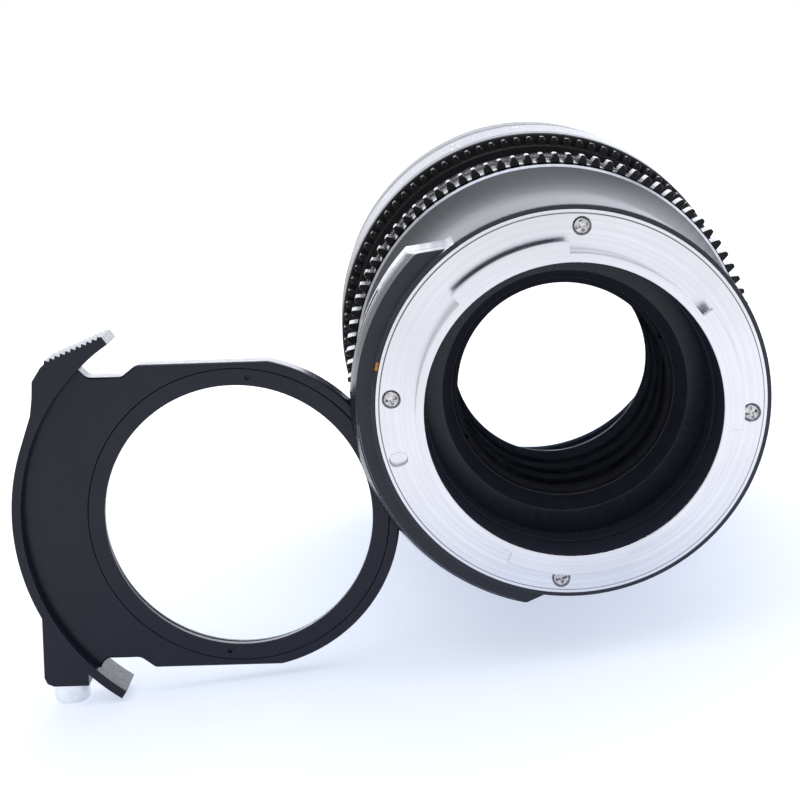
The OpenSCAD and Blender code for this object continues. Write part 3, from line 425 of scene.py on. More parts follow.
def paint_stroke(name, near_d, far_d):
    """A short round-ended stroke of paint along the collar."""
    count = 24
    outline = []
    for k in range(count):
        a = 2 * math.pi * k / count
        shift = math.copysign(INDEX_HALF_LEN - INDEX_HALF_W, math.sin(a + 1e-6))
        outline.append((INDEX_HALF_W * math.cos(a), INDEX_HALF_W * math.sin(a) + shift))
    points = []
    for d, grow in ((near_d, 0.8), (near_d + 0.05, 1.0), (far_d, 1.0)):
        for out, side in outline:
            r, a = INDEX_R + out * grow, INDEX_CLOCK + side * grow / INDEX_R
            points.append((r * MM * math.cos(a), d * MM, r * MM * math.sin(a)))
    faces = [tuple(range(count)), tuple(range(3 * count - 1, 2 * count - 1, -1))]
    for e in (0, count):
        for k in range(count):
            after = (k + 1) % count
            faces.append((e + k, e + count + k, e + count + after, e + after))
    return closed(name, points, faces)


dot = paint_stroke("index_dot_paint", 0.55, 0.85)
fitted(dot, dot_paint, "lens_body", "dot_paint", "mount_index_dot")


# ---------------------------------------------------------------- rear barrel
# A turned aluminium barrel that flares from the slot housing out to the iris gear.
# It is anodised black over a fine turned face, so its slope shines grey under a bright sky.
def turned(name, outline, turns=192):
    """A closed outline of radius and depth, turned about the lens axis."""
    count = len(outline)
    points, faces = [], []
    for k in range(turns):
        a = 2 * math.pi * k / turns
        points += [(r * MM * math.cos(a), d * MM, r * MM * math.sin(a)) for r, d in outline]
    for k in range(turns):
        for i in range(count):
            j, n = (i + 1) % count, (k + 1) % turns
            faces.append((k * count + i, k * count + j, n * count + j, n * count + i))
    return closed(name, points, faces, 1e-7)


def turned_anodise(name, dark, light, low_rough, high_rough, pitch=6000, depth=0.3):
    """Black anodise over a turned face, with its fine tool marks."""
    material, tree, shader = blank_finish(name)
    wire = tree.links.new
    wire(tones(tree, spread(tree, cloud(tree, 90), 0, 1), dark, light), shader.inputs["Base Color"])
    marks = turning_lines(tree, pitch)
    wire(spread(tree, marks, low_rough, high_rough), shader.inputs["Roughness"])
    fine = relief(tree, cloud(tree, 7000, 2.0), 0.08, 0.02)
    wire(relief(tree, marks, depth, 0.006, fine), shader.inputs["Normal"])
    return material


def turned_arc(name, outline, from_a, to_a, steps=150):
    """The same, but turned only from one clock to another, with both ends closed."""
    count = len(outline)
    points, faces = [], []
    for k in range(steps + 1):
        a = from_a + (to_a - from_a) * k / steps
        points += [(r * MM * math.cos(a), d * MM, r * MM * math.sin(a)) for r, d in outline]
    for k in range(steps):
        for i in range(count):
            j = (i + 1) % count
            faces.append((k * count + i, k * count + j, (k + 1) * count + j, (k + 1) * count + i))
    faces += [tuple(range(count)), tuple(range(steps * count + count - 1, steps * count - 1, -1))]
    return closed(name, points, faces)


INNER_R, BARREL_REAR_R, BARREL_R, BARREL_FROM, BARREL_END, SEAT_D = 33.05, 29.05, 32.4, 15.3, 41.6, 37.0
FLARE_FROM, FLARE_LEN, FLARE_RISE, FLARE_STEPS = 27.8, 12.8, 3.7, 28
flare = [(BARREL_R + FLARE_RISE * (i / FLARE_STEPS) ** 2, FLARE_FROM + FLARE_LEN * i / FLARE_STEPS)
         for i in range(FLARE_STEPS + 1)]
barrel_black = turned_anodise("turned_black_anodise", (0.030, 0.032, 0.042), (0.040, 0.042, 0.054),
                              0.44, 0.54, depth=0.12)
rear_barrel = turned("rear_barrel_shell", [
    (BARREL_REAR_R, BARREL_FROM), (BARREL_R, BARREL_FROM)] + flare + [
    (36.1, BARREL_END), (INNER_R, BARREL_END), (INNER_R, SEAT_D), (BARREL_REAR_R, SEAT_D)])
broken_edges(rear_barrel, 0.1, 3)
fitted(rear_barrel, barrel_black, "lens_body", "barrel_black", "rear_barrel")
# The rims of the flare and of the slot's lobe are cut once more after the anodising, so they are bare;
# their pale metal also paints the grazing highlights there, and the lobe's rim runs only along the stretch
# where its highlight falls.
bare_rim_highlight = scuffed_metal("bare_rim_painted_highlight", (0.40, 0.41, 0.455), (0.31, 0.32, 0.36), 0.25, 0.35, 900)
flare_rim = turned("flare_bare_rim", [(35.66, 39.86), (36.13, 40.33), (36.13, 40.6), (35.7, 40.6)])
smooth(flare_rim, 25)
fitted(flare_rim, bare_rim_highlight, "lens_body", "barrel_black")
LOBE_HIGHLIGHT_ARC = (math.radians(178), math.radians(248))
lobe_rim = turned_arc("lobe_bare_rim", [
    (34.62, 2.58), (34.99, 2.90), (34.92, 3.0), (34.5, 2.68)], *LOBE_HIGHLIGHT_ARC)
smooth(lobe_rim, 25)
fitted(lobe_rim, bare_rim_highlight, "lens_body", "housing_black")
# The back of the slot housing is turned with the barrel, so it has the same skin.
HOUSING_BACK = (math.radians(-95), math.radians(118))
housing_back = turned_arc("housing_turned_back", [
    (32.36, 0.9), (32.44, 0.98), (32.46, 1.1), (32.46, BARREL_FROM), (32.36, BARREL_FROM)], *HOUSING_BACK)
smooth(housing_back, 40)
fitted(housing_back, barrel_black, "lens_body", "housing_black")


# ---------------------------------------------------------------- inner barrel and rear optical cell
# The inner barrel carries the rings outside and the optical cells inside. Both are turned, blackened
# with a matt paint against stray light, and the cell is closed by a threaded ring.
def flock(name, dark, light):
    """Matt black paint against stray light."""
    material, tree, shader = blank_finish(name)
    wire = tree.links.new
    wire(tones(tree, spread(tree, cloud(tree, 400), 0, 1), dark, light), shader.inputs["Base Color"])
    marks = turning_lines(tree, 2400)
    wire(spread(tree, marks, 0.42, 0.62), shader.inputs["Roughness"])
    wire(relief(tree, marks, 0.2, 0.02), shader.inputs["Normal"])
    shader.inputs["Specular IOR Level"].default_value = 0.0
    return material


inner_black = flock("matt_baffle_paint", (0.044, 0.048, 0.062), (0.050, 0.054, 0.069))
cell_ring = broken_edges(merged("rear_cell_ring", "rear_cell_lock_ring"), 0.08)
fitted(cell_ring, inner_black, "lens_body", "inner_black", "rear_cell_ring")
coat(inner_black, "inner_barrel", "rear_cell", "rear_spacer", "relay_spacer", "front_spacer")

# The throat behind the glass: black paint in the mount's bore, and fine steps cut in the baffle cone.
bore_paint = flock("mount_bore_paint", (0.040, 0.043, 0.062), (0.046, 0.049, 0.070))
liner = turned("mount_bore_liner", [(23.74, -4.34), (23.80, -4.43), (23.80, 2.4), (23.74, 2.4)])
fitted(liner, bore_paint, "lens_body", "inner_black")
PLATE_BORE_R = 23.40
plate_liner = turned("plate_bore_liner", [
    (PLATE_BORE_R - 0.06, 2.62), (PLATE_BORE_R + 0.3, 2.58), (PLATE_BORE_R + 0.01, 2.7),
    (PLATE_BORE_R + 0.01, 6.95), (PLATE_BORE_R - 0.06, 6.95)])
fitted(plate_liner, bore_paint, "lens_body", "inner_black")
CONE_FROM, CONE_TO, CONE_REAR_R, CONE_FRONT_R, CONE_STEPS = 11.25, 15.25, 20.58, 18.99, 8
ridge = []
for k in range(CONE_STEPS):
    d = CONE_FROM + (CONE_TO - CONE_FROM) * k / CONE_STEPS
    r = CONE_REAR_R + (CONE_FRONT_R - CONE_REAR_R) * k / CONE_STEPS
    ridge += [(r - 0.02, d), (r - 0.22, d + 0.12), (r - 0.22, d + 0.2)]
cone_steps = turned("throat_baffle_steps", ridge + [
    (CONE_FRONT_R - 0.02, CONE_TO), (CONE_FRONT_R + 0.02, CONE_TO), (CONE_REAR_R + 0.02, CONE_FROM)])
fitted(cone_steps, bore_paint, "lens_body", "inner_black")
# The baffle's lip is painted a paler grey than the black around it, as a painted highlight along its edge.
lip_painted_highlight = turned_anodise("baffle_lip_painted_highlight", (0.10, 0.102, 0.11), (0.15, 0.152, 0.16), 0.3, 0.4)
cone_lip = turned("throat_baffle_lip", [
    (19.02, 15.18), (18.93, 15.10), (18.86, 15.16), (18.86, 15.24), (19.02, 15.29)])
fitted(cone_lip, lip_painted_highlight, "lens_body", "inner_black")


# ---------------------------------------------------------------- glass
# Ground and polished elements with a thin coating that leaves a faint blue glint, violet on the front one.
# The filter in the tray is flat, clear and coated too.
def coated_glass(name, glint, mirrored):
    """Coated glass: clear, with a weak coloured mirror that grows towards grazing sight."""
    material, tree, shader = blank_finish(name)
    tree.nodes.remove(shader)
    clear = joined(tree, "ShaderNodeBsdfTransparent")
    clear.inputs["Color"].default_value = (0.996, 0.998, 0.998, 1)
    bloom = tones(tree, spread(tree, cloud(tree, 40), 0, 1), glint, tuple(min(1, c * 1.15) for c in glint))
    mirror = joined(tree, "ShaderNodeBsdfGlossy", {"Color": bloom, "Roughness": 0.02})
    fresnel = joined(tree, "ShaderNodeFresnel", {"IOR": 1.5})
    share = joined(tree, "ShaderNodeMath", {0: fresnel.outputs[0], 1: mirrored}, operation="MULTIPLY")
    both = joined(tree, "ShaderNodeMixShader",
                  {0: share.outputs[0], 1: clear.outputs[0], 2: mirror.outputs[0]})
    tree.links.new(both.outputs[0], tree.nodes["Material Output"].inputs["Surface"])
    return material


lens_glass = coated_glass("coated_optical_glass", (0.35, 0.62, 0.80), 0.025)
coat(lens_glass, "rear_element", "relay_element", "stop_element", "second_element", "inner_element")
front_glass = coated_glass("front_coated_glass", (0.62, 0.50, 0.85), 0.4)
coat(front_glass, "front_element")
filter_clear = coated_glass("clear_filter_glass", (0.72, 0.82, 0.9), 0.35)
coat(filter_clear, "filter_glass")


# ---------------------------------------------------------------- iris
# Ten thin blackened steel blades swing on pins in a base plate, driven by the slots of a rotor.
# A keeper plate holds the stack, and a steel key joins the rotor to the iris ring outside.
iris_metal = turned_anodise("iris_plate_black", (0.02, 0.02, 0.022), (0.035, 0.035, 0.038), 0.35, 0.5)
coat(iris_metal, "iris_base", "iris_keeper", "iris_rotor")
coat(screw_steel, "iris_key")
blade_black = anodised("blackened_blade_steel", (0.012, 0.012, 0.014), (0.03, 0.03, 0.033),
                       0.38, 0.55, 3000, 0.06)
coat(blade_black, *("iris_blade_%d" % (i + 1) for i in range(10)))


# ---------------------------------------------------------------- iris ring
# A turned and hobbed aluminium ring: a gear of 0.8 mm module for a motor, and a scale of stops.
# The teeth are cut before the ring is anodised black, and the numbers are filled with white paint.
MODULE = 0.8
IRIS_TEETH, IRIS_GEAR_D, GEAR_W, IRIS_R = 93, 41.9, 4.6, 36.2


def tooth_blank(name, teeth, from_d, width):
    """One straight tooth at clock 0, its crests and ends broken, its foot sunk in the ring."""
    pitch_r = MODULE * teeth / 2
    step = 2 * math.pi / teeth
    crest = 0.14
    # radius, half angle in steps
    flank = [(pitch_r - MODULE - 0.25, 0.385), (pitch_r - MODULE, 0.355), (pitch_r, 0.262),
             (pitch_r + MODULE - crest, 0.165), (pitch_r + MODULE, 0.105)]
    section = flank + [(r, -a) for r, a in reversed(flank)]
    ends = [(from_d, 0.16), (from_d + 0.16, 0.0), (from_d + width - 0.16, 0.0), (from_d + width, 0.16)]
    points, faces = [], []
    for d, drop in ends:
        for r, a in section:
            r -= drop * max(0.0, (r - pitch_r + MODULE) / (2 * MODULE))
            a *= 1 - 0.35 * drop
            points.append((r * MM * math.cos(a * step), d * MM, r * MM * math.sin(a * step)))
    count = len(section)
    for e in range(len(ends) - 1):
        for i in range(count):
            j = (i + 1) % count
            faces.append((e * count + i, e * count + j, (e + 1) * count + j, (e + 1) * count + i))
    faces.append(tuple(range(count)))
    faces.append(tuple(3 * count + i for i in range(count)))
    return closed(name, points, faces)


# The gear's teeth and band are painted darker than the other black anodise: painted shade between the teeth
# and on the focus ring's rear shoulder.
gear_black_shaded = anodised("gear_anodise_painted_shade", (0.003, 0.0032, 0.0045), (0.006, 0.0065, 0.009), 0.20, 0.30,
                      4200, 0.03, gloss=0.2)
iris_teeth = set_round("iris_gear_teeth", tooth_blank("iris_tooth", IRIS_TEETH, IRIS_GEAR_D, GEAR_W),
                       IRIS_TEETH, 0, 360 / IRIS_TEETH, gear_black_shaded)
fitted(iris_teeth, gear_black_shaded, "iris_control", "barrel_black")
ring_black = turned_anodise("ring_black_anodise", (0.004, 0.0043, 0.006), (0.007, 0.0075, 0.010),
                            0.16, 0.24, depth=0.05)
iris_sleeve = turned("iris_ring_sleeve", [
    (INNER_R, IRIS_GEAR_D), (36.45, IRIS_GEAR_D), (36.45, 46.5), (IRIS_R, 46.5),
    (IRIS_R, 57.5), (35.8, 57.9), (INNER_R, 57.9)])
broken_edges(iris_sleeve, 0.08)
fitted(iris_sleeve, ring_black, "iris_control", "barrel_black", "iris_ring")

# The index marks stand at both sides of the lens when the orange dot is up.
LEFT_INDEX, RIGHT_INDEX = 250.5, 70.5
scale_white = paint("scale_white_paint", (0.86, 0.86, 0.84), (0.74, 0.74, 0.72))


def bar(name, radius, depth, length, width, proud=0.05, taper=0.0):
    """A short raised line along the axis, at clock 0, on a barrel that may widen forwards."""
    work = bmesh.new()
    bmesh.ops.create_cube(work, size=1.0)
    for v in work.verts:
        v.co = Vector((radius + taper * v.co.y * length - 0.1 + (v.co.x + 0.5) * (proud + 0.1),
                       depth + v.co.y * length, v.co.z * width)) * MM
    mesh = bpy.data.meshes.new(name)
    work.to_mesh(mesh)
    work.free()
    return shown(name, mesh)


def numerals(name, marks, radius, depth, height, side, proud=0.04, taper=0.0):
    """Numbers wrapped on a barrel, upright for someone at that side of the lens."""
    points, faces = [], []
    for clock, word in marks:
        letters = bpy.data.curves.new("numeral", "FONT")
        letters.body = word
        letters.size = height * 1.35 * MM
        letters.extrude = 0.5 * proud * MM
        letters.align_x, letters.align_y = "CENTER", "CENTER"
        letters.resolution_u = 3
        holder = shown("numeral", letters)
        mesh = evaluated_mesh(holder)
        bpy.data.objects.remove(holder)
        first = len(points)
        for v in mesh.vertices:
            r = (radius + 0.5 * proud) * MM + v.co.z + taper * side * v.co.x
            a = math.radians(clock) + side * v.co.y / (radius * MM)
            points.append((r * math.cos(a), depth * MM + side * v.co.x, r * math.sin(a)))
        faces += [tuple(first + i for i in p.vertices) for p in mesh.polygons]
    return closed(name, points, faces, 1e-6)


STOPS = ["2", "2.8", "4", "5.6", "8", "11", "16", "22"]
IRIS_TURN = 72.0
stop_step = IRIS_TURN / (len(STOPS) - 1)
for side, label, index in ((-1, "left", LEFT_INDEX), (1, "right", RIGHT_INDEX)):
    words = numerals("iris_numbers_" + label, [(index - k * stop_step, w) for k, w in enumerate(STOPS)],
                     IRIS_R, 51.0, 2.2, side)
    fitted(words, scale_white, "iris_control", "dot_paint")
    ticks = set_round("iris_ticks_" + label, bar("iris_tick", IRIS_R, 55.6, 2.0, 0.28), len(STOPS), index,
                      -stop_step, scale_white)
    fitted(ticks, scale_white, "iris_control", "dot_paint")


# ---------------------------------------------------------------- index barrel
# A fixed turned ring between the two gears, clamped on the inner barrel.
# Each side has one white index line, filled with paint, that both scales are read against.
INDEX_BARREL_R = 36.6
index_barrel = turned("index_barrel_shell", [
    (INNER_R, 58.2), (36.1, 58.2), (INDEX_BARREL_R, 58.7), (INDEX_BARREL_R, 62.6), (36.4, 62.8),
    (36.4, 63.2), (INDEX_BARREL_R, 63.4), (INDEX_BARREL_R, 69.5), (36.1, 70.0), (INNER_R, 70.0)])
broken_edges(index_barrel, 0.08)
fitted(index_barrel, ring_black, "lens_body", "barrel_black", "index_barrel")
index_lines = set_round("index_lines", bar("index_line", INDEX_BARREL_R, 64.1, 10.2, 0.5),
                        2, RIGHT_INDEX, 180.0, scale_white)
fitted(index_lines, scale_white, "lens_body", "dot_paint")


# ---------------------------------------------------------------- focus ring
# The widest ring: a gear of the same module at its rear, and a smooth sleeve with the distances.
# It turns 300 degrees, so each side of the lens has its own row of numbers.
FOCUS_TEETH, FOCUS_GEAR_D = 97, 70.5
focus_teeth = set_round("focus_gear_teeth", tooth_blank("focus_tooth", FOCUS_TEETH, FOCUS_GEAR_D, GEAR_W),
                        FOCUS_TEETH, 0, 360 / FOCUS_TEETH, gear_black_shaded)
fitted(focus_teeth, gear_black_shaded, "focus_control", "barrel_black")
SHOULDER_D, SHOULDER_R, WIDE_D, WIDE_R = 75.6, 40.16, 93.0, 41.0
FOCUS_TAPER = (WIDE_R - SHOULDER_R) / (WIDE_D - SHOULDER_D)


def focus_r(depth):
    return SHOULDER_R + FOCUS_TAPER * (depth - SHOULDER_D)


focus_band = turned("focus_gear_band", [
    (36.0, 70.3), (37.7, 70.3), (38.05, 70.5), (38.05, 75.1), (39.66, 75.1), (39.92, 75.2), (40.04, 75.36),
    (36.0, 75.36)])
fitted(focus_band, gear_black_shaded, "focus_control", "barrel_black")
focus_sleeve = turned("focus_ring_sleeve", [
    (36.0, 75.36), (40.04, 75.36), (SHOULDER_R, SHOULDER_D),
    (focus_r(78.2), 78.2), (focus_r(78.4) - 0.2, 78.4), (focus_r(78.6) - 0.2, 78.6), (focus_r(78.8), 78.8),
    (WIDE_R, WIDE_D), (40.8, 93.2), (40.8, 93.5), (WIDE_R, 93.7), (WIDE_R, 95.2),
    (40.5, 95.7), (36.0, 95.7)])
broken_edges(focus_sleeve, 0.1)
sleeve_black = turned_anodise("sleeve_black_anodise", (0.030, 0.032, 0.042), (0.040, 0.042, 0.054),
                              0.35, 0.43, depth=0.1)
fitted(focus_sleeve, sleeve_black, "focus_control", "barrel_black", "focus_ring")
DISTANCES = [("∞", 0), ("15", 16.1), ("7", 34.8), ("4", 61.5), ("3", 82.6), ("2", 125.8), ("1.5", 170.2),
             ("1.2", 216.0), ("1", 263.2), ("0.9", 295.5)]
for side, label, index, row in ((-1, "left", LEFT_INDEX, 81.4), (1, "right", RIGHT_INDEX, 89.4)):
    words = numerals("focus_numbers_" + label, [(index + turn, w) for w, turn in DISTANCES],
                     focus_r(row) - 0.03, row, 2.4, side, taper=FOCUS_TAPER)
    fitted(words, scale_white, "focus_control", "dot_paint")
FINE_D = 85.4
fine_mark = bar("focus_mark", focus_r(FINE_D), FINE_D, 1.2, 0.14, 0.004, FOCUS_TAPER)
fine_marks = set_round("focus_fine_marks", fine_mark, 60, LEFT_INDEX, 5.0, scale_white)
fitted(fine_marks, scale_white, "focus_control", "dot_paint")


# ---------------------------------------------------------------- focus drive and focus cell
# A brass cam turns with the focus ring; three steel followers in its slots carry the front cell.
# The cell holds three elements between a spacer and two threaded rings.
coat(brass, "focus_cam")
coat(screw_steel, "cam_followers")
coat(inner_black, "focus_cell", "front_cell_ring", "inner_cell_ring")


# ---------------------------------------------------------------- front barrel and bezel
# The fixed front of the lens, turned and anodised, with a filter thread cut inside its rim.
# The bezel is a blackened ring with fine steps that keep light off the front element.
THREAD_R, THREAD_FROM, THREAD_TO, THREAD_PITCH, THREAD_TURNS = 38.1, 106.0, 111.0, 0.75, 6
BEZEL_R, BEZEL_D, BEZEL_STEPS = 32.05, 103.7, 7
thread = []
for k in range(THREAD_TURNS):
    d = THREAD_TO - 0.35 - k * THREAD_PITCH
    thread += [(THREAD_R, d), (THREAD_R, d - 0.08), (THREAD_R + 0.4, d - 0.36), (THREAD_R + 0.4, d - 0.44)]
front_barrel = turned("front_barrel_shell", [
    (INNER_R, 96.0), (40.4, 96.0), (WIDE_R, 96.6), (WIDE_R, 98.9), (40.75, 99.15), (40.75, 99.55),
    (WIDE_R, 99.8), (WIDE_R, 110.4), (40.4, THREAD_TO), (38.5, THREAD_TO)] + thread + [
    (THREAD_R, THREAD_FROM), (38.5, THREAD_FROM), (38.5, BEZEL_D), (BEZEL_R, BEZEL_D),
    (BEZEL_R, 100.05), (INNER_R, 100.05)])
broken_edges(front_barrel, 0.08)
fitted(front_barrel, barrel_black, "lens_body", "barrel_black", "front_barrel")
steps = []
for k in range(BEZEL_STEPS):
    r = 37.6 - k * 0.5
    steps += [(r, 105.2), (r - 0.2, 105.2), (r - 0.28, 104.95), (r - 0.42, 104.95)]
front_bezel = turned("front_bezel_ring", [(BEZEL_R, BEZEL_D), (38.05, BEZEL_D), (38.05, 105.2)] + steps
                     + [(34.0, 105.2), (INNER_R, 104.45)])
broken_edges(front_bezel, 0.04, 1)
fitted(front_bezel, inner_black, "lens_body", "inner_black", "front_bezel")


# ---------------------------------------------------------------- filter tray
# The tray's frame and grip are milled from aluminium, blasted fine and anodised black.
# A threaded ring with two pin holes holds the filter glass; the grip is pressed over the frame's tongue.
tray_black = anodised("tray_black_anodise", (0.011, 0.0135, 0.028), (0.015, 0.018, 0.035), 0.24, 0.32,
                      blast=0.03, wear_and_highlight=0.15, gloss=0.27)
TRAY_CENTRE = (-57.31, -12.705)
FRAME_HOLE_R, FRAME_MOUTH_R = 22.6, 23.25
tray_plate = merged("tray_frame", "tray_frame_plate")
for v in tray_plate.data.vertices:
    x, z = v.co.x / MM - TRAY_CENTRE[0], v.co.z / MM - TRAY_CENTRE[1]
    if abs(math.hypot(x, z) - FRAME_HOLE_R) < 0.06:
        grow = FRAME_MOUTH_R / FRAME_HOLE_R
        v.co.x, v.co.z = (TRAY_CENTRE[0] + x * grow) * MM, (TRAY_CENTRE[1] + z * grow) * MM
tray_frame = worn_rim(tray_plate, TRAY_CENTRE, 25.9, 0.5, 0.4)
fitted(tray_frame, tray_black, "filter_tray", "tray_black", "tray_frame")
tray_ring = broken_edges(merged("tray_ring", "tray_lock_ring"), 0.18)
fitted(tray_ring, tray_black, "filter_tray", "tray_black", "tray_ring")
tray_grip = broken_edges(merged("tray_grip", "tray_grip_band"), 0.16)
fitted(tray_grip, tray_black, "filter_tray", "tray_black", "tray_grip")


def shifted(piece, x, z):
    """Moves a piece's mesh across the lens axis."""
    for v in piece.data.vertices:
        v.co += Vector((x, 0, z)) * MM
    return piece


# The filter's rim is ground, so it looks pale through the glass.
FILTER_EDGE_R, FILTER_FROM_D, FILTER_TO_D = 24.58, 8.38, 10.22
ground_edge = paint("ground_glass_edge", (0.82, 0.84, 0.87), (0.74, 0.76, 0.80))
rim = turned("filter_ground_rim", [(FILTER_EDGE_R - 0.15, FILTER_FROM_D), (FILTER_EDGE_R, FILTER_FROM_D),
                                   (FILTER_EDGE_R, FILTER_TO_D), (FILTER_EDGE_R - 0.15, FILTER_TO_D)])
shifted(rim, *TRAY_CENTRE)
fitted(rim, ground_edge, "filter", "filter_clear")
# The ring's two pin holes are blind, so a thin floor closes each.
PIN_CIRCLE_R, PIN_R, PIN_FLOOR_D, RING_BACK_D = 24.0, 0.42, 7.75, 8.28
for where, clock in (("upper", 77.2), ("lower", 257.2)):
    pin_floor = turned("tray_pin_floor_" + where, [
        (0, PIN_FLOOR_D), (PIN_R, PIN_FLOOR_D), (PIN_R, RING_BACK_D), (0, RING_BACK_D)], 24)
    a = math.radians(clock)
    shifted(pin_floor, TRAY_CENTRE[0] + PIN_CIRCLE_R * math.cos(a),
            TRAY_CENTRE[1] + PIN_CIRCLE_R * math.sin(a))
    fitted(pin_floor, tray_black, "filter_tray", "tray_black")


# ---------------------------------------------------------------- release button
# A turned brass button with a chrome plate stands out of the grip's boss.
# A wound wire spring behind it pushes it out.
chrome = scuffed_metal("button_chrome_plate", (0.86, 0.87, 0.89), (0.74, 0.75, 0.78), 0.10, 0.2, 700)
button = broken_edges(merged("release_button", "release_button_cap"), 0.08)
fitted(button, chrome, "tray_button", "button_chrome", "release_button")


def spring_tree():
    """Geometry Nodes: round wire wound into a straight coil along Z."""
    tree = bpy.data.node_groups.new("wound_wire", "GeometryNodeTree")
    ask = tree.interface.new_socket
    for label, kind in (("Coil radius", "Float"), ("Length", "Float"), ("Turns", "Float"),
                        ("Wire radius", "Float"), ("Finish", "Material")):
        ask(label, in_out="INPUT", socket_type="NodeSocket" + kind)
    ask("Geometry", in_out="OUTPUT", socket_type="NodeSocketGeometry")
    given = tree.nodes.new("NodeGroupInput").outputs
    path = joined(tree, "GeometryNodeCurveSpiral",
                  {"Resolution": 40, "Rotations": given["Turns"], "Start Radius": given["Coil radius"],
                   "End Radius": given["Coil radius"], "Height": given["Length"]})
    round_wire = joined(tree, "GeometryNodeCurvePrimitiveCircle",
                        {"Resolution": 12, "Radius": given["Wire radius"]})
    wound = joined(tree, "GeometryNodeCurveToMesh",
                   {"Curve": path.outputs[0], "Profile Curve": round_wire.outputs[0], "Fill Caps": True})
    real = joined(tree, "GeometryNodeRealizeInstances", {0: wound.outputs[0]})
    coated = joined(tree, "GeometryNodeSetMaterial",
                    {"Geometry": real.outputs[0], "Material": given["Finish"]})
    joined(tree, "NodeGroupOutput", {0: coated.outputs[0]})
    return tree


TRAY_TILT = math.radians(6.3)
TRAY_OUT = Vector((-math.cos(TRAY_TILT), 0, math.sin(TRAY_TILT)))
TRAY_DOWN = Vector((-TRAY_OUT.z, 0, TRAY_OUT.x))
SPRING_U, SPRING_V, SPRING_D, SPRING_LEN, SPRING_REST, SPRING_KEEP = 30.775, 25.05, 9.1, 3.1, 0.2, 0.42
wire = grown("wound_wire", spring_tree(), {
    "Coil radius": 1.5 * MM, "Length": (SPRING_LEN - 2 * SPRING_REST) * MM, "Turns": 4.5,
    "Wire radius": 0.19 * MM, "Finish": screw_steel})
foot = Vector((TRAY_CENTRE[0], SPRING_D, TRAY_CENTRE[1])) + TRAY_OUT * SPRING_U + TRAY_DOWN * SPRING_V
coil_points = []
for v in wire.vertices:
    x, y, z = v.co / MM
    coil_points.append((foot + TRAY_OUT * x + Vector((0, y, 0)) + TRAY_DOWN * (z + SPRING_REST)) * MM)
spring = closed("button_wire_spring", coil_points, [p.vertices[:] for p in wire.polygons])
spring.data.shade_smooth()
fitted(spring, screw_steel, "filter_tray", "spring_steel", "button_spring")
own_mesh(spring)


# ---------------------------------------------------------------- table, light and camera
# A white table top under a wide soft sky and three large lamps, as in a light tent; the table's glow is
# painted darker and bluer near the lens, as a painted shadow.
# The camera stands behind the lens, a little above its axis.
FLOOR_Z, TRAY_FOOT_Z, LENS_FOOT_D, TRAY_FOOT_D = -41.0, -41.90, 104.0, 9.1
FLOOR_FALL = (FLOOR_Z - TRAY_FOOT_Z) / (LENS_FOOT_D - TRAY_FOOT_D)
floor_mesh = bpy.data.meshes.new("table_top")
reach = 4.0
low, high = (FLOOR_Z * MM + (d - LENS_FOOT_D * MM) * FLOOR_FALL for d in (-reach, reach))
floor_mesh.from_pydata([(-reach, -reach, low), (reach, -reach, low),
                        (reach, reach, high), (-reach, reach, high)], [], [(0, 1, 2, 3)])
floor = shown("table_top", floor_mesh)


def seen_rays(tree):
    """1 for rays of sight, straight, mirrored or through glass, and 0 for all other light."""
    path = joined(tree, "ShaderNodeLightPath").outputs
    seen = joined(tree, "ShaderNodeMath", {0: path["Is Camera Ray"], 1: path["Is Glossy Ray"]})
    seen = joined(tree, "ShaderNodeMath",
                  {0: seen.outputs[0], 1: path["Is Transmission Ray"]}, use_clamp=True)
    return seen.outputs[0]


paper, tree, shader = blank_finish("white_table_paper_painted_shadow")
tree.nodes.remove(shader)
matt = joined(tree, "ShaderNodeBsdfDiffuse")
matt.inputs["Color"].default_value = (0.65, 0.65, 0.65, 1)
# Close to the lens the glow is darker and bluer: a painted shadow that fades out with distance.
place = joined(tree, "ShaderNodeVectorMath", {0: object_place(tree), 1: (-0.02, 0.03, FLOOR_Z * MM)},
               operation="DISTANCE")
outside_painted_shadow = joined(tree, "ShaderNodeMapRange",
              {"Value": place.outputs["Value"], "From Min": 0.05, "From Max": 0.18,
               "To Min": 0.0, "To Max": 1.0}, interpolation_type="SMOOTHSTEP")
glow_with_painted_shadow = joined(tree, "ShaderNodeEmission",
              {"Color": tones(tree, outside_painted_shadow.outputs[0], (0.51, 0.56, 0.69), (0.85, 0.85, 0.85))})
tree.links.new(seen_rays(tree), glow_with_painted_shadow.inputs["Strength"])
total = joined(tree, "ShaderNodeAddShader", {0: matt.outputs[0], 1: glow_with_painted_shadow.outputs[0]})
tree.links.new(total.outputs[0], tree.nodes["Material Output"].inputs["Surface"])
floor_mesh.materials.append(paper)

world = bpy.data.worlds.new("light_tent")
bpy.context.scene.world = world
world.use_nodes = True
tree = world.node_tree
tree.nodes.clear()
sky = joined(tree, "ShaderNodeBackground")
sky.inputs["Color"].default_value = (0.97, 0.98, 1.0, 1)
sky.inputs["Strength"].default_value = 0.4
white = joined(tree, "ShaderNodeBackground")
white.inputs["Color"].default_value = (1, 1, 1, 1)
white.inputs["Strength"].default_value = 1.0
both = joined(tree, "ShaderNodeMixShader", {0: seen_rays(tree), 1: sky.outputs[0], 2: white.outputs[0]})
joined(tree, "ShaderNodeOutputWorld", {"Surface": both.outputs[0]})


def lamp(name, place, aim, energy, wide, high):
    data = bpy.data.lights.new(name, "AREA")
    data.energy = energy
    data.color = (0.92, 0.95, 1.06)
    data.shape, data.size, data.size_y = "RECTANGLE", wide, high
    holder = bpy.data.objects.new(name, data)
    bpy.context.scene.collection.objects.link(holder)
    holder.location = place
    holder.visible_camera = False
    holder.rotation_euler = (Vector(aim) - Vector(place)).to_track_quat("-Z", "Y").to_euler()
    return holder


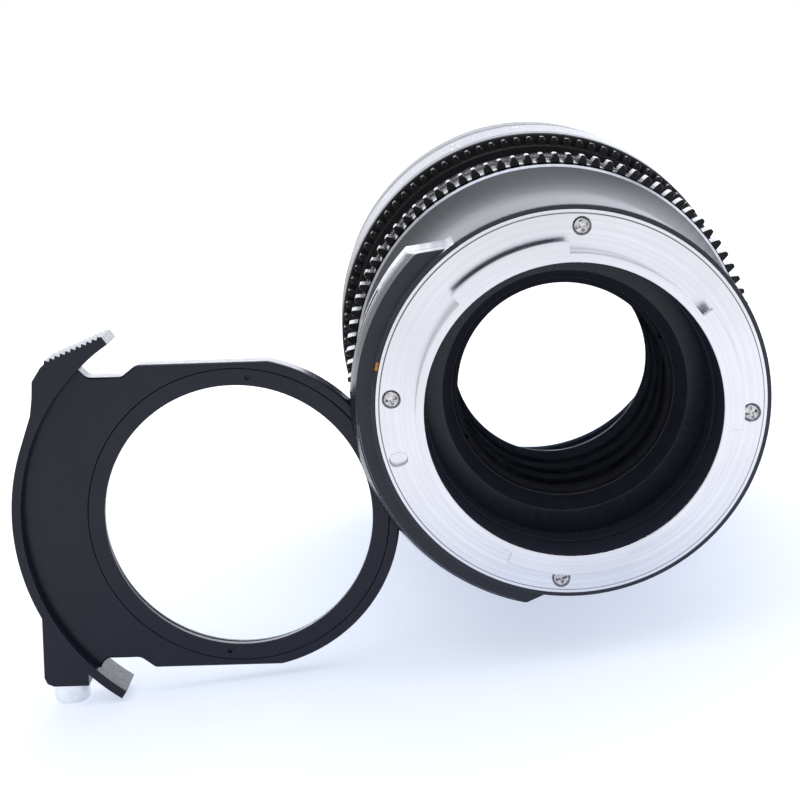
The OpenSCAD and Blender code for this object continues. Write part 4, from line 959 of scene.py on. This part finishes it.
lamp("tent_roof", (0.02, 0.05, 0.75), (0, 0.04, 0), 2.8, 0.9, 0.9)
lamp("tent_back", (0.375, 1.2, 0.40), (0.1, 0.05, 0), 14.0, 2.15, 0.8)
lamp("tent_right", (0.75, 0.15, 0.35), (0.03, 0.05, 0), 1.2, 0.6, 0.5)

FOCAL_PX, IMAGE_PX, SENSOR = 1620.0, 800.0, 36.0
AXIS_PX, DISTANCE = (571.4, 406.0), 261.5
YAW, PITCH, ROLL = math.radians(0.4), math.radians(11.96), math.radians(8.1)
axis = Vector((math.sin(YAW) * math.cos(PITCH), -math.sin(PITCH), math.cos(YAW) * math.cos(PITCH)))
centre = Vector(((AXIS_PX[0] - IMAGE_PX / 2) / FOCAL_PX,
                 (AXIS_PX[1] - IMAGE_PX / 2) / FOCAL_PX, 1)) * DISTANCE
right = Vector((0, 1, 0)).cross(axis).normalized()
up = right.cross(axis)
if up.y > 0:
    up = -up
in_x = right * math.cos(ROLL) + up * math.sin(ROLL)
in_z = -right * math.sin(ROLL) + up * math.cos(ROLL)


def to_lens(v):
    """A direction of the camera's frame (right, down, forward) in the lens's frame."""
    return Vector((in_x.dot(v), axis.dot(v), in_z.dot(v)))


camera_data = bpy.data.cameras.new("camera")
camera_data.sensor_width = SENSOR
camera_data.lens = SENSOR * FOCAL_PX / IMAGE_PX
camera_data.clip_start, camera_data.clip_end = 0.01, 50.0
camera = bpy.data.objects.new("camera", camera_data)
bpy.context.scene.collection.objects.link(camera)
side, over, back = to_lens(Vector((1, 0, 0))), to_lens(Vector((0, -1, 0))), to_lens(Vector((0, 0, -1)))
turn = camera.matrix_world.to_3x3()
for row in range(3):
    turn[row][0], turn[row][1], turn[row][2] = side[row], over[row], back[row]
placed = turn.to_4x4()
placed.translation = to_lens(-centre) * MM
camera.matrix_world = placed
bpy.context.scene.camera = camera
bpy.context.scene.view_settings.view_transform = "Standard"
# Six elements and a filter lie behind one another, so sight passes through many coated faces.
bpy.context.scene.cycles.transparent_max_bounces = 32
